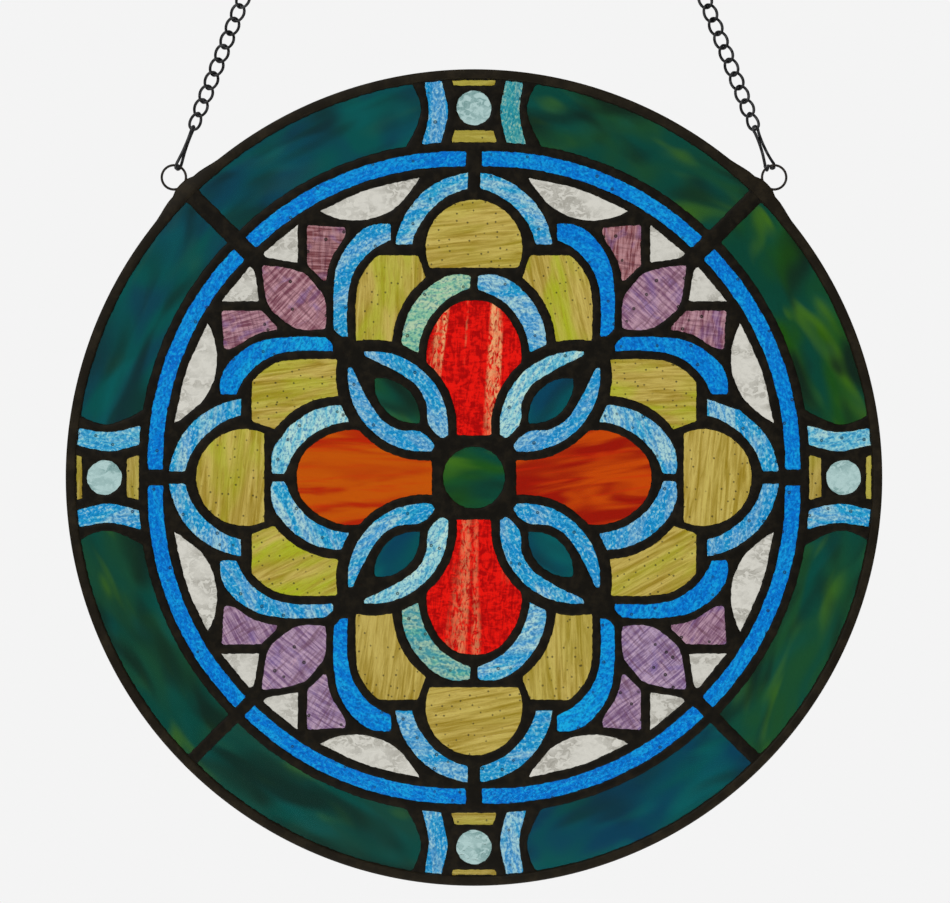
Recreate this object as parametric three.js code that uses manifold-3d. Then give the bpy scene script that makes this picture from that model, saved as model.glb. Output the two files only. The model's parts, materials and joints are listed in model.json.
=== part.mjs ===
import * as THREE from 'three';
import { mergeGeometries, mergeVertices } from 'three/addons/utils/BufferGeometryUtils.js';
import Module from 'manifold-3d';

// A round leaded-glass panel that hangs on two chains, in millimetres.
// It is drawn lying on the table: x to the right, y up the panel, z out of its front face.
// The last group stands it up and puts the origin midway between the two top rings.

// The whole panel
const PANEL_RADIUS = 279.4;
const GLASS_THICKNESS = 3;
const LEAD_THICKNESS = 4.8;
const FIT = 0.3;

// The channel round the edge, whose two lips lap over the leadwork
const CHANNEL_LIP = 0.8;
const CHANNEL_WALL = 2.5;
const CHANNEL_FACE = 6.4;
const SIGHT_RADIUS = PANEL_RADIUS - CHANNEL_FACE;

// Solder pads on the upper rim, and the wire rings held in them
const PAD_LENGTH = 62;
const PAD_HEIGHT = 3.2;
const PAD_THICKNESS = 5.4;
const PAD_ROOT = 1.5;
const PAD_SINK = 0.15;
const RING_DIAMETER = 18;
const RING_WIRE = 1.4;
const RING_BITE = 1;

// Hooks, chains and the rings at the top ends
const CHAIN_LEAN = 21.2;
const HOOK_LENGTH = 32;
const HOOK_WIRE = 1.4;
const HOOK_FOOT = 6.8;
const HOOK_HEAD = 5.2;
const HOOK_TURN_LEFT = 60;
const HOOK_TURN_RIGHT = 45;
const LINK_LENGTH = 13;
const LINK_WIDTH = 10;
const LINK_WIRE = 1.6;
const LINK_TWIST = 45;
const LINK_CONTACT = 0.155;
const LINK_COUNT = 11;
const TOP_RING_DIAMETER = 18;
const TOP_RING_WIRE = 1.8;
const TOP_RING_TURN = -45;

// How finely round things are cut into flats
const FLAT_DEPTH = 1;
const TILE_FLAT_DEPTH = 1.6;
const JEWEL_FLATS = 12;
const RIM_FLATS = 44;
const LOOP_FLATS = 12;
const LINK_FLATS = 8;
const WIRE_SIDES = 4;
const PAD_SHARES = [-1, -0.6, -0.25, 0, 0.25, 0.6, 1];

// The cartoon: the lead lines of one arm of the pattern, drawn for a panel of this radius,
// with the arm pointing up from the panel's centre. The seam between two arms is the line y = x.
// A larger panel spreads the lines further apart and keeps the widths of the leads.
// Each line states half the width of its lead.
// An arch is a circle with two straight legs that run on from it, in the direction given in degrees.
const CARTOON_RADIUS = 279.4;
const drawn = (length) => length * PANEL_RADIUS / CARTOON_RADIUS;
const circle = (x, y, radius, half) => (
  { kind: 'circle', x: drawn(x), y: drawn(y), radius: drawn(radius), half, turn: 0 }
);
const arch = (x, y, radius, half, turn = 270) => ({ ...circle(x, y, radius, half), kind: 'arch', turn });
const line = (x, y, turn, half) => ({ kind: 'line', x: drawn(x), y: drawn(y), half, turn });

const HUB = circle(0, 0, 24.8, 3.4);
const HUB_STAR = circle(0, 0, 31, 3);
const PETAL_FOOT = line(0, 26.1, 0, 2.5);
const PETAL_HEAD = arch(0, 89.2, 35, 2.6);
const PETAL_ARCH = arch(-10.5, 82.6, 45.9, 2.5);
const PETAL_RING = circle(-1.5, 90.8, 54.2, 2.9);
const FLANK = circle(70, 34, 55.4, 2.7);
const BAND_FOOT = circle(70, 34, 57.4, 2.9);
const LEAF = circle(64.8, 40.3, 30.8, 2.8);
const LEAF_TAIL = { ...LEAF, kind: 'arch', turn: 26.6 };
const LEAF_END = line(78.2, 0, 90, 2.7);
const CAP_FOOT = line(0, 140.7, 0, 2.6);
const CAP = circle(0, 157, 36, 2.6);
const CAP_ARCH = circle(-7.2, 148.3, 47.9, 2.6);
const CAP_RING = circle(-2.6, 152.4, 60.2, 3.1);
const CAP_TAIL = line(0, 155.8, 0, 3.4);
const SHOULDER = arch(42.9, 121.4, 40.7, 2.5);
const OGEE = arch(46.7, 129.9, 51.9, 2.4);
const OGEE_TOP = line(0, 176.2, 0, 2.6);
const OGEE_HEAD = line(54, 0, 90, 2.6);
const OGEE_FOOT = line(0, 93.6, 0, 2.6);
const CLEAR_FOOT = circle(81.4, 223.6, 50.3, 2.3);
const VIOLET_INNER = line(98.9, 0, 90, 2.7);
const VIOLET_FLANK = circle(148.1, 99.4, 54.1, 2.8);
const VIOLET_SIDE = line(117.4, 0, 90, 2.9);
const VIOLET_TOP = line(118, 143.7, 9.4, 2.7);
const VIOLET_HEAD = line(0, 175.6, 0, 2.5);
const VIOLET_HEEL = line(86, 0, 90, 2.6);
const VIOLET_TOE = line(0, 132, 0, 2.6);
const RING_INNER = circle(11, 14, 196, 2.6);
const RING_OUTER = circle(11, 14, 212.4, 2.8);
const ROUND = circle(0, 253, 14.2, 2);
const ROUND_FOOT = line(0, 240, 0, 2);
const ROUND_HEAD = line(0, 266, 0, 2);
const BAND_INNER = circle(74.2, 250.9, 59.4, 2.9);
const BAND_OUTER = circle(97.2, 251.8, 63, 2.9);
const BORDER_END = line(34.2, 0, 90, 2.6);
const BORDER_HEEL = line(38.4, 236.8, 115, 2.6);
const BORDER_TOE = line(37.4, 264.6, 66, 2.6);
const SIGHT_LINE = { ...circle(0, 0, CARTOON_RADIUS, 0), radius: SIGHT_RADIUS - FIT };

// Half the lead on the lines that part the arms: on an arm's own axis, and on the seam
const AXIS_PETAL = line(0, 0, 90, 2.3);
const AXIS_CAP = line(0, 0, 90, 4);
const AXIS_RING = line(0, 0, 90, 5.2);
const SEAM_LEAF = line(0, 0, 45, 3.6);
const SEAM_CLEAR = line(0, 0, 45, 6);
const SEAM_HALF_UPPER = 5.4;
const SEAM_HALF_LOWER = 3.9;

const inside = (curve) => ({ curve, keep: 1 });
const outside = (curve) => ({ curve, keep: -1 });
const above = outside;
const below = inside;
const rightOf = inside;
const leftOf = outside;

// The same lead line on the other side of the arm's axis, and on the other side of the seam
const flipped = (curve) => ({ ...curve, x: -curve.x, turn: 180 - curve.turn });
const swapped = (curve) => ({ ...curve, x: curve.y, y: curve.x, turn: 90 - curve.turn });
const swappedLine = (rule) => ({ curve: swapped(rule.curve), keep: -rule.keep });

// Every pane of one arm: the block of the drawing it is cut from, left, bottom, right, top,
// then the lead lines that trim it, and how it repeats round the panel.
// An arm pane lies on the arm's axis, a seam pane on the seam, and a twin on each side of the axis.
function paneTable(seamHalf) {
  const seam = line(0, 0, 45, seamHalf);
  return [
    {
      name: 'petal', repeat: 'arm', block: [-40, 20, 40, 130],
      cuts: [
        inside(PETAL_HEAD), above(PETAL_FOOT), inside(PETAL_ARCH), inside(flipped(PETAL_ARCH)),
        outside(FLANK), outside(flipped(FLANK)),
      ],
    },
    {
      name: 'cap', repeat: 'arm', block: [-45, 130, 45, 200],
      cuts: [inside(CAP), above(CAP_FOOT)],
    },
    {
      name: 'leaf', repeat: 'seam', block: [25, 25, 80, 80],
      cuts: [inside(LEAF), inside(swapped(LEAF))],
    },
    {
      name: 'violet', repeat: 'seam', block: [95, 95, 150, 150],
      cuts: [
        rightOf(VIOLET_INNER), swappedLine(rightOf(VIOLET_INNER)),
        below(VIOLET_TOP), swappedLine(below(VIOLET_TOP)),
        inside(VIOLET_FLANK), inside(swapped(VIOLET_FLANK)),
      ],
    },
    {
      name: 'lobe', repeat: 'twin', block: [25, 85, 90, 160],
      cuts: [
        inside(SHOULDER), below(CAP_TAIL), outside(PETAL_RING), outside(CAP), outside(BAND_FOOT),
      ],
    },
    {
      name: 'clear', repeat: 'twin', block: [20, 160, 120, 215],
      cuts: [inside(CLEAR_FOOT), inside(RING_INNER), outside(CAP_RING)],
    },
    {
      name: 'circlet', repeat: 'twin', block: [0, 120, 180, 240],
      cuts: [
        rightOf(AXIS_RING), inside(RING_OUTER), outside(RING_INNER), above(seam),
      ],
    },
    {
      name: 'border', repeat: 'twin', block: [20, 120, 240, 285],
      cuts: [
        inside(SIGHT_LINE), outside(RING_OUTER), above(seam),
        rightOf(BORDER_END), rightOf(BORDER_HEEL), rightOf(BORDER_TOE),
      ],
    },
    {
      name: 'leaf_band', repeat: 'twin', set: true, block: [5, 5, 90, 100],
      cuts: [
        above(SEAM_LEAF), inside(FLANK), leftOf(LEAF_END), outside(LEAF_TAIL), outside(HUB_STAR),
      ],
    },
    {
      name: 'petal_band', repeat: 'twin', set: true, block: [-5, 75, 70, 150],
      cuts: [
        rightOf(AXIS_PETAL), inside(PETAL_RING), below(CAP_FOOT), outside(PETAL_ARCH), outside(BAND_FOOT),
      ],
    },
    {
      name: 'cap_band', repeat: 'twin', set: true, block: [-5, 150, 80, 230],
      cuts: [rightOf(AXIS_CAP), inside(CAP_RING), above(CAP_TAIL), outside(CAP_ARCH)],
    },
    {
      name: 'ogee_band', repeat: 'twin', set: true, block: [50, 85, 110, 190],
      cuts: [
        inside(OGEE), below(OGEE_TOP), rightOf(OGEE_HEAD), above(OGEE_FOOT),
        outside(SHOULDER), above(SEAM_LEAF), outside(CLEAR_FOOT),
      ],
    },
    {
      name: 'violet_side', repeat: 'twin', set: true, block: [80, 125, 125, 185],
      cuts: [
        leftOf(VIOLET_SIDE), below(VIOLET_HEAD), outside(OGEE), outside(VIOLET_FLANK), outside(CLEAR_FOOT),
        rightOf(VIOLET_HEEL), above(VIOLET_TOE),
      ],
    },
    {
      name: 'small_clear', repeat: 'twin', set: true, block: [110, 130, 160, 190],
      cuts: [rightOf(VIOLET_SIDE), above(VIOLET_TOP), inside(RING_INNER), above(SEAM_CLEAR)],
    },
    {
      name: 'border_band', repeat: 'twin', set: true, block: [5, 215, 50, 285],
      cuts: [inside(SIGHT_LINE), inside(BAND_INNER), outside(BAND_OUTER), outside(RING_OUTER)],
    },
    {
      name: 'olive_inner', repeat: 'arm', set: true, block: [-22, 222, 22, 250],
      cuts: [
        below(ROUND_FOOT), outside(BAND_INNER), outside(flipped(BAND_INNER)),
        outside(RING_OUTER), outside(flipped(RING_OUTER)), outside(ROUND),
      ],
    },
    {
      name: 'round', repeat: 'arm', set: true, block: [-20, 230, 20, 275], jewel: ROUND,
      cuts: [],
    },
    {
      name: 'olive_outer', repeat: 'arm', set: true, block: [-22, 255, 22, 285],
      cuts: [
        inside(SIGHT_LINE), above(ROUND_HEAD), outside(BAND_INNER), outside(flipped(BAND_INNER)),
        outside(ROUND),
      ],
    },
  ];
}

// Cutting an outline. An outline is a closed run of points, anticlockwise.
// Arcs are followed in small steps, and a turn sharper than the corner turn is kept as a corner.
const radians = THREE.MathUtils.degToRad;
const STEP = radians(1.5);
const STRAIGHT_STEP = 1.5;
const NEAR = 0.05;
const CORNER_TURN = radians(25);
const CROSSING_HALVINGS = 40;
const DEPTH_HALVINGS = 12;

function straightRun(from, to) {
  const count = Math.ceil(from.distanceTo(to) / STRAIGHT_STEP);
  return Array.from({ length: count }, (_, i) => from.clone().lerp(to, i / count));
}

function blockOutline(block) {
  const [left, bottom, right, top] = block.map(drawn);
  const corners = [[left, bottom], [right, bottom], [right, top], [left, top]]
    .map(([x, y]) => new THREE.Vector2(x, y));
  return corners.flatMap((corner, i) => straightRun(corner, corners[(i + 1) % corners.length]));
}

const onCircle = (curve, radius, angle) => new THREE.Vector2(
  curve.x + radius * Math.cos(angle),
  curve.y + radius * Math.sin(angle),
);

// A point as seen from a curve's centre, with an arch's legs along the x axis and a line along it too
function seenFrom(curve, point) {
  const offset = point.clone().sub(new THREE.Vector2(curve.x, curve.y));
  return offset.rotateAround(new THREE.Vector2(), -radians(curve.turn));
}

// How far a point stands clear of the lead, positive on the side that is kept
function clearance(point, { curve, keep }) {
  const seen = seenFrom(curve, point);
  if (curve.kind === 'line') {
    return -keep * seen.y - curve.half;
  }
  const reach = curve.kind === 'arch' && seen.x > 0 ? Math.abs(seen.y) : seen.length();
  return keep * (curve.radius - reach) - curve.half;
}

function crossing(from, to, rule) {
  let kept = from;
  let lost = to;
  for (let i = 0; i < CROSSING_HALVINGS; i += 1) {
    const middle = kept.clone().lerp(lost, 0.5);
    if (clearance(middle, rule) > 0) {
      kept = middle;
    } else {
      lost = middle;
    }
  }
  return kept;
}

// The points along a lead line's edge, from where an outline meets it to where it leaves it
function alongEdge(from, to, { curve, keep }) {
  if (curve.kind === 'line') {
    return straightRun(from, to);
  }
  const angleOf = (point) => {
    const seen = seenFrom(curve, point);
    return Math.atan2(seen.y, curve.kind === 'arch' ? Math.min(seen.x, 0) : seen.x);
  };
  const start = angleOf(from);
  const turn = radians(curve.turn);
  let sweep = (angleOf(to) - start) * keep;
  while (sweep < 0) {
    sweep += 2 * Math.PI;
  }
  const radius = curve.radius - keep * curve.half;
  const count = Math.floor(sweep / STEP);
  const points = [];
  for (let i = 0; i <= count; i += 1) {
    points.push(onCircle(curve, radius, turn + start + keep * i * STEP));
  }
  return points;
}

function trimmed(outline, rule) {
  const first = outline.findIndex((point) => clearance(point, rule) > 0);
  if (first < 0) {
    return outline;
  }
  const run = [...outline.slice(first), ...outline.slice(0, first)];
  const result = [];
  let left = null;
  run.forEach((point, i) => {
    const next = run[(i + 1) % run.length];
    const here = clearance(point, rule) > 0;
    const there = clearance(next, rule) > 0;
    if (here) {
      result.push(point);
    }
    if (here && !there) {
      left = crossing(point, next, rule);
      result.push(left);
    }
    if (!here && there) {
      const back = crossing(next, point, rule);
      result.push(...alongEdge(left, back, rule), back);
    }
  });
  return result;
}

const turnAt = (before, point, after) => {
  const a = point.clone().sub(before);
  const b = after.clone().sub(point);
  return Math.atan2(a.cross(b), a.dot(b));
};

const depthOf = (stretch, from, to) => {
  const along = stretch[to].clone().sub(stretch[from]).normalize();
  const offset = (point) => point.clone().sub(stretch[from]);
  const depths = stretch.slice(from, to).map((point) => Math.abs(along.cross(offset(point))));
  return Math.max(...depths);
};

// The start of each flat, when every flat runs on as far as it can within a depth of its curve
function flatStarts(stretch, depth) {
  const starts = [0];
  for (let i = 2; i < stretch.length; i += 1) {
    if (depthOf(stretch, starts[starts.length - 1], i) > depth) {
      starts.push(i - 1);
    }
  }
  return starts;
}

// As few flats as the depth allows, then evened out along the stretch
function thinned(stretch, depth) {
  const fewest = flatStarts(stretch, depth).length;
  let shallow = 0;
  let deep = depth;
  for (let i = 0; i < DEPTH_HALVINGS; i += 1) {
    const middle = (shallow + deep) / 2;
    if (flatStarts(stretch, middle).length > fewest) {
      shallow = middle;
    } else {
      deep = middle;
    }
  }
  return flatStarts(stretch, deep).map((start) => stretch[start]);
}

function flats(outline, depth) {
  const points = outline.filter((point, i) => point.distanceTo(outline[(i + 1) % outline.length]) > NEAR);
  const at = (i) => points[(i + points.length) % points.length];
  const corners = points
    .map((point, i) => i)
    .filter((i) => Math.abs(turnAt(at(i - 1), at(i), at(i + 1))) > CORNER_TURN);
  return corners.flatMap((from, i) => {
    const to = i + 1 < corners.length ? corners[i + 1] : corners[0] + points.length;
    return thinned(Array.from({ length: to - from + 1 }, (_, k) => at(from + k)), depth);
  });
}

const jewelOutline = (curve) => Array.from(
  { length: JEWEL_FLATS },
  (_, i) => onCircle(curve, curve.radius - curve.half, (i + 0.5) * 2 * Math.PI / JEWEL_FLATS),
);

function cellOutline(pane) {
  if (pane.jewel) {
    return jewelOutline(pane.jewel);
  }
  return flats(pane.cuts.reduce(trimmed, blockOutline(pane.block)), pane.set ? TILE_FLAT_DEPTH : FLAT_DEPTH);
}

// The same outline, drawn in on every side by the fit
function drawnIn(outline, by) {
  return outline.map((point, i) => {
    const before = outline[(i + outline.length - 1) % outline.length];
    const after = outline[(i + 1) % outline.length];
    const a = point.clone().sub(before).normalize();
    const b = after.clone().sub(point).normalize();
    const inward = new THREE.Vector2(-a.y - b.y, a.x + b.x);
    const reach = by / (1 + a.dot(b));
    return point.clone().addScaledVector(inward, reach);
  });
}

// Eight places round the panel: four arms, each with a side to the right and to the left of its axis
const ARMS = ['top', 'left', 'bottom', 'right'];
const SEAMS = ['upper_right', 'upper_left', 'lower_left', 'lower_right'];
const CLOCK = [[1, 11], [10, 8], [7, 5], [4, 2]];
const UPPER_SIDES = [[true, true], [true, false], [false, false], [false, true]];

function turned(outline, quarter, mirrored) {
  const angle = quarter * Math.PI / 2;
  const points = outline.map((point) => {
    const x = mirrored ? -point.x : point.x;
    return new THREE.Vector2(x, point.y).rotateAround(new THREE.Vector2(), angle);
  });
  return mirrored ? points.reverse() : points;
}

function allPanes() {
  const upper = paneTable(SEAM_HALF_UPPER);
  const lower = paneTable(SEAM_HALF_LOWER);
  const hub = { name: 'centre_roundel', outline: jewelOutline(HUB), family: 'centre_roundel', set: false };
  const panes = [hub];
  upper.forEach((pane, index) => {
    const { name: family, set = false } = pane;
    const outlineHigh = cellOutline(pane);
    const outlineLow = cellOutline(lower[index]);
    ARMS.forEach((arm, quarter) => {
      if (pane.repeat === 'twin') {
        [false, true].forEach((mirrored, side) => {
          const outline = UPPER_SIDES[quarter][side] ? outlineHigh : outlineLow;
          const name = `${family}_${CLOCK[quarter][side]}`;
          panes.push({ name, family, set, outline: turned(outline, quarter, mirrored) });
        });
      } else {
        const place = pane.repeat === 'arm' ? arm : SEAMS[quarter];
        panes.push({ name: `${family}_${place}`, family, set, outline: turned(outlineHigh, quarter, false) });
      }
    });
  });
  return panes;
}

// Solids
const wasm = await Module();
wasm.setup();

function plate(outline, bottom, top) {
  const geometry = new THREE.ExtrudeGeometry(new THREE.Shape(outline), {
    depth: top - bottom,
    bevelEnabled: false,
  });
  return geometry.translate(0, 0, bottom);
}

function toManifold(geometry) {
  const bare = geometry.clone();
  bare.deleteAttribute('normal');
  bare.deleteAttribute('uv');
  const merged = mergeVertices(bare);
  return new wasm.Manifold(new wasm.Mesh({
    numProp: 3,
    vertProperties: new Float32Array(merged.attributes.position.array),
    triVerts: new Uint32Array(merged.index.array),
  }));
}

function toGeometry(manifold) {
  const mesh = manifold.getMesh();
  const geometry = new THREE.BufferGeometry();
  geometry.setAttribute('position', new THREE.BufferAttribute(mesh.vertProperties, 3));
  geometry.setIndex(new THREE.BufferAttribute(mesh.triVerts, 1));
  geometry.computeVertexNormals();
  return geometry;
}

const circleOutline = (radius, count) => Array.from({ length: count }, (_, i) => {
  const angle = (i + 0.5) * 2 * Math.PI / count;
  return new THREE.Vector2(radius * Math.cos(angle), radius * Math.sin(angle));
});

// A flat-sided circle keeps its flats inside the round, so what fits in one is drawn in by this much
const FLAT_SHARE = Math.cos(Math.PI / RIM_FLATS);
const CHANNEL_BED_RADIUS = PANEL_RADIUS - CHANNEL_WALL;
const LEADWORK_RADIUS = CHANNEL_BED_RADIUS - FIT;
const RIM_THICKNESS = LEAD_THICKNESS + 2 * (FIT + CHANNEL_LIP);

// Leadwork: one plate of lead and solder, pierced for the large panes.
// The small tiles are soldered in for good, so they stay in it as sunk fields on both faces.
function leadworkGeometry(panes) {
  const face = LEAD_THICKNESS / 2;
  const glassFace = GLASS_THICKNESS / 2;
  const past = face + FIT;
  const openings = panes.filter((pane) => !pane.set).map((pane) => plate(pane.outline, -past, past));
  const fields = panes.filter((pane) => pane.set).flatMap((pane) => [
    plate(pane.outline, glassFace, past),
    plate(pane.outline, -past, -glassFace),
  ]);
  const body = toManifold(plate(circleOutline(LEADWORK_RADIUS, RIM_FLATS), -face, face));
  return toGeometry(body.subtract(toManifold(mergeGeometries([...openings, ...fields]))));
}

// Channel: a U in section, open towards the middle of the panel, with the two pads run on
const SEAT_ANGLES = [45, 135];
const RING_RADIUS = (RING_DIAMETER - RING_WIRE) / 2;
const RING_SEAT = PANEL_RADIUS + PAD_HEIGHT - RING_BITE + RING_DIAMETER / 2;

function padOutline(seatAngle) {
  const halfAngle = PAD_LENGTH / 2 / PANEL_RADIUS;
  const crown = PAD_SHARES.map((share) => {
    const radius = PANEL_RADIUS * FLAT_SHARE + PAD_HEIGHT * Math.cos(share * Math.PI / 2) ** 2 - PAD_SINK;
    const angle = radians(seatAngle) + share * halfAngle;
    return new THREE.Vector2(radius * Math.cos(angle), radius * Math.sin(angle));
  });
  const root = PANEL_RADIUS * FLAT_SHARE - PAD_ROOT;
  const feet = [halfAngle, 0, -halfAngle].map((angle) => {
    const at = radians(seatAngle) + angle;
    return new THREE.Vector2(root * Math.cos(at), root * Math.sin(at));
  });
  return [...crown, ...feet];
}

function loopGeometry(radius, wire, flatCount) {
  return new THREE.TorusGeometry(radius, wire / 2, WIRE_SIDES, flatCount);
}

const seatPoint = (seatAngle) => new THREE.Vector3(
  RING_SEAT * Math.cos(radians(seatAngle)),
  RING_SEAT * Math.sin(radians(seatAngle)),
  0,
);

function channelGeometry() {
  const outer = PANEL_RADIUS;
  const bed = CHANNEL_BED_RADIUS / FLAT_SHARE;
  const sight = SIGHT_RADIUS / FLAT_SHARE;
  const half = RIM_THICKNESS / 2;
  const inner = half - CHANNEL_LIP;
  const profile = [
    [outer, -half], [outer, half], [sight, half], [sight, inner],
    [bed, inner], [bed, -inner], [sight, -inner], [sight, -half], [outer, -half],
  ].map(([radius, level]) => new THREE.Vector2(radius, level));
  const ring = new THREE.LatheGeometry(profile, RIM_FLATS);
  ring.rotateX(Math.PI / 2);
  ring.rotateZ(Math.PI / RIM_FLATS);
  let channel = toManifold(ring);
  const padHalf = PAD_THICKNESS / 2;
  SEAT_ANGLES.forEach((seatAngle) => {
    const pad = plate(padOutline(seatAngle), -padHalf, padHalf);
    channel = channel.add(toManifold(pad));
  });
  SEAT_ANGLES.forEach((seatAngle) => {
    const groove = loopGeometry(RING_RADIUS, RING_WIRE + 2 * FIT, LOOP_FLATS);
    const seat = seatPoint(seatAngle);
    groove.translate(seat.x, seat.y, seat.z);
    channel = channel.subtract(toManifold(groove));
  });
  return toGeometry(channel);
}

// A wire loop drawn out along y: its head may be narrower than its foot, and its ends may be twisted.
// A flat lies across each end, and the flats keep the loop's full length and width.
function wireLoop({ length, foot, head, wire, twist }) {
  const flatShare = Math.cos(Math.PI / LINK_FLATS);
  const radius = (foot - wire) / 2;
  const geometry = loopGeometry(radius / flatShare, wire, LINK_FLATS);
  geometry.rotateZ(Math.PI / LINK_FLATS);
  const stretch = (length - foot) / 2;
  const squeeze = (head - wire) / (foot - wire);
  const place = geometry.attributes.position;
  const point = new THREE.Vector3();
  const up = new THREE.Vector3(0, 1, 0);
  for (let i = 0; i < place.count; i += 1) {
    point.fromBufferAttribute(place, i);
    const toWireCentre = radius / flatShare / Math.hypot(point.x, point.y);
    const share = point.y * toWireCentre / radius;
    const narrowed = THREE.MathUtils.lerp(1, squeeze, (share + 1) / 2);
    point.x += point.x * toWireCentre * (narrowed - 1);
    point.y += Math.sign(point.y) * stretch;
    point.applyAxisAngle(up, radians(twist) * share);
    place.setXYZ(i, point.x, point.y, point.z);
  }
  return geometry;
}

// Places along a chain, measured from the centre of the ring on the rim
const HOOK_START = RING_RADIUS - RING_WIRE / 2 - FIT - HOOK_WIRE;
const HOOK_MIDDLE = HOOK_START + HOOK_LENGTH / 2;
const HOOK_END = HOOK_START + HOOK_LENGTH - HOOK_WIRE;
const FIRST_LINK_START = HOOK_END - FIT - LINK_WIRE;
const LINK_PITCH = LINK_LENGTH - 2 * LINK_WIRE + LINK_CONTACT;
const CHAIN_END = FIRST_LINK_START + (LINK_COUNT - 1) * LINK_PITCH + LINK_LENGTH - LINK_WIRE;
const TOP_RING_CENTRE = CHAIN_END - FIT + TOP_RING_DIAMETER / 2 - TOP_RING_WIRE;

function chainGeometry() {
  const size = {
    length: LINK_LENGTH, foot: LINK_WIDTH, head: LINK_WIDTH, wire: LINK_WIRE, twist: LINK_TWIST,
  };
  let chain = null;
  for (let i = 0; i < LINK_COUNT; i += 1) {
    const link = wireLoop(size);
    link.translate(0, FIRST_LINK_START + LINK_LENGTH / 2 + i * LINK_PITCH, 0);
    const solid = toManifold(link);
    chain = chain ? chain.add(solid) : solid;
  }
  return toGeometry(chain);
}

// Finishes
const finish = (color, roughness, metalness = 0) => new THREE.MeshStandardMaterial({
  color,
  roughness,
  metalness,
});
const BLACK_SOLDER = finish(0x1e1a10, 0.45, 0.7);
const BLACK_WIRE = finish(0x16161a, 0.35, 0.8);
const GLASS = {
  centre_roundel: finish(0x174620, 0.15),
  petal_top: finish(0xc92519, 0.2),
  petal_bottom: finish(0xc2170e, 0.2),
  petal_left: finish(0xb54a04, 0.2),
  petal_right: finish(0xa62304, 0.2),
  cap: finish(0xab974a, 0.25),
  leaf: finish(0x0c524f, 0.2),
  violet: finish(0x98707f, 0.25),
  lobe: finish(0xa69942, 0.25),
  clear: finish(0xc6c4b9, 0.1),
  circlet: finish(0x1068b0, 0.2),
  border: finish(0x12403f, 0.2),
};

// Assembly
const mesh = (name, geometry, material) => {
  const result = new THREE.Mesh(geometry, material);
  result.name = name;
  return result;
};

const panes = allPanes();
const flat = new THREE.Group();
flat.add(mesh('rim_channel', channelGeometry(), BLACK_SOLDER));
flat.add(mesh('leadwork', leadworkGeometry(panes), BLACK_SOLDER));
panes.filter((pane) => !pane.set).forEach((pane) => {
  const glass = plate(drawnIn(pane.outline, FIT), -GLASS_THICKNESS / 2, GLASS_THICKNESS / 2);
  flat.add(mesh(pane.name, glass, GLASS[pane.name] ?? GLASS[pane.family]));
});

const hookSize = { length: HOOK_LENGTH, foot: HOOK_FOOT, head: HOOK_HEAD, wire: HOOK_WIRE, twist: 0 };
const SIDES = [
  { side: 'left', seatAngle: SEAT_ANGLES[1], lean: -CHAIN_LEAN, hookTurn: HOOK_TURN_LEFT },
  { side: 'right', seatAngle: SEAT_ANGLES[0], lean: CHAIN_LEAN, hookTurn: HOOK_TURN_RIGHT },
];
SIDES.forEach(({ side, seatAngle, lean, hookTurn }) => {
  const hanger = new THREE.Group();
  hanger.position.copy(seatPoint(seatAngle));
  const ring = mesh(`ring_${side}`, loopGeometry(RING_RADIUS, RING_WIRE, LOOP_FLATS), BLACK_SOLDER);
  hanger.add(ring);

  const pull = new THREE.Group();
  pull.rotation.z = radians(lean);
  const hook = mesh(`hook_${side}`, wireLoop(hookSize), BLACK_WIRE);
  hook.position.y = HOOK_MIDDLE;
  hook.rotation.y = radians(hookTurn);
  pull.add(hook);
  pull.add(mesh(`chain_${side}`, chainGeometry(), BLACK_WIRE));
  const topRadius = (TOP_RING_DIAMETER - TOP_RING_WIRE) / 2;
  const topRing = mesh(`top_ring_${side}`, loopGeometry(topRadius, TOP_RING_WIRE, LOOP_FLATS), BLACK_WIRE);
  topRing.position.y = TOP_RING_CENTRE;
  topRing.rotation.y = radians(TOP_RING_TURN);
  pull.add(topRing);
  hanger.add(pull);
  flat.add(hanger);
});

const HANG_HEIGHT = RING_SEAT * Math.sin(radians(SEAT_ANGLES[0]))
  + TOP_RING_CENTRE * Math.cos(radians(CHAIN_LEAN));
const panel = new THREE.Group();
flat.rotation.x = Math.PI / 2;
flat.position.z = -HANG_HEIGHT;
panel.add(flat);

export default panel;
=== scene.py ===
# %% [markdown]
# # A round stained glass panel on two chains
# The real panel is cut glass held in blackened lead and solder, framed by a metal channel and hung
# on wire hooks and chain. The solid model already fixes every size, so this lesson reads the
# outlines of the panes from it and dresses them: rounded solder, hand-cut glass and worn wire.
# First the frame is loaded, and its size is kept to compare with the dressed panel at the end.

import json
import math
import random

import bpy
import numpy as np
from mathutils import Euler, Matrix, Vector
from mathutils.geometry import delaunay_2d_cdt
from mathutils.kdtree import KDTree


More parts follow.
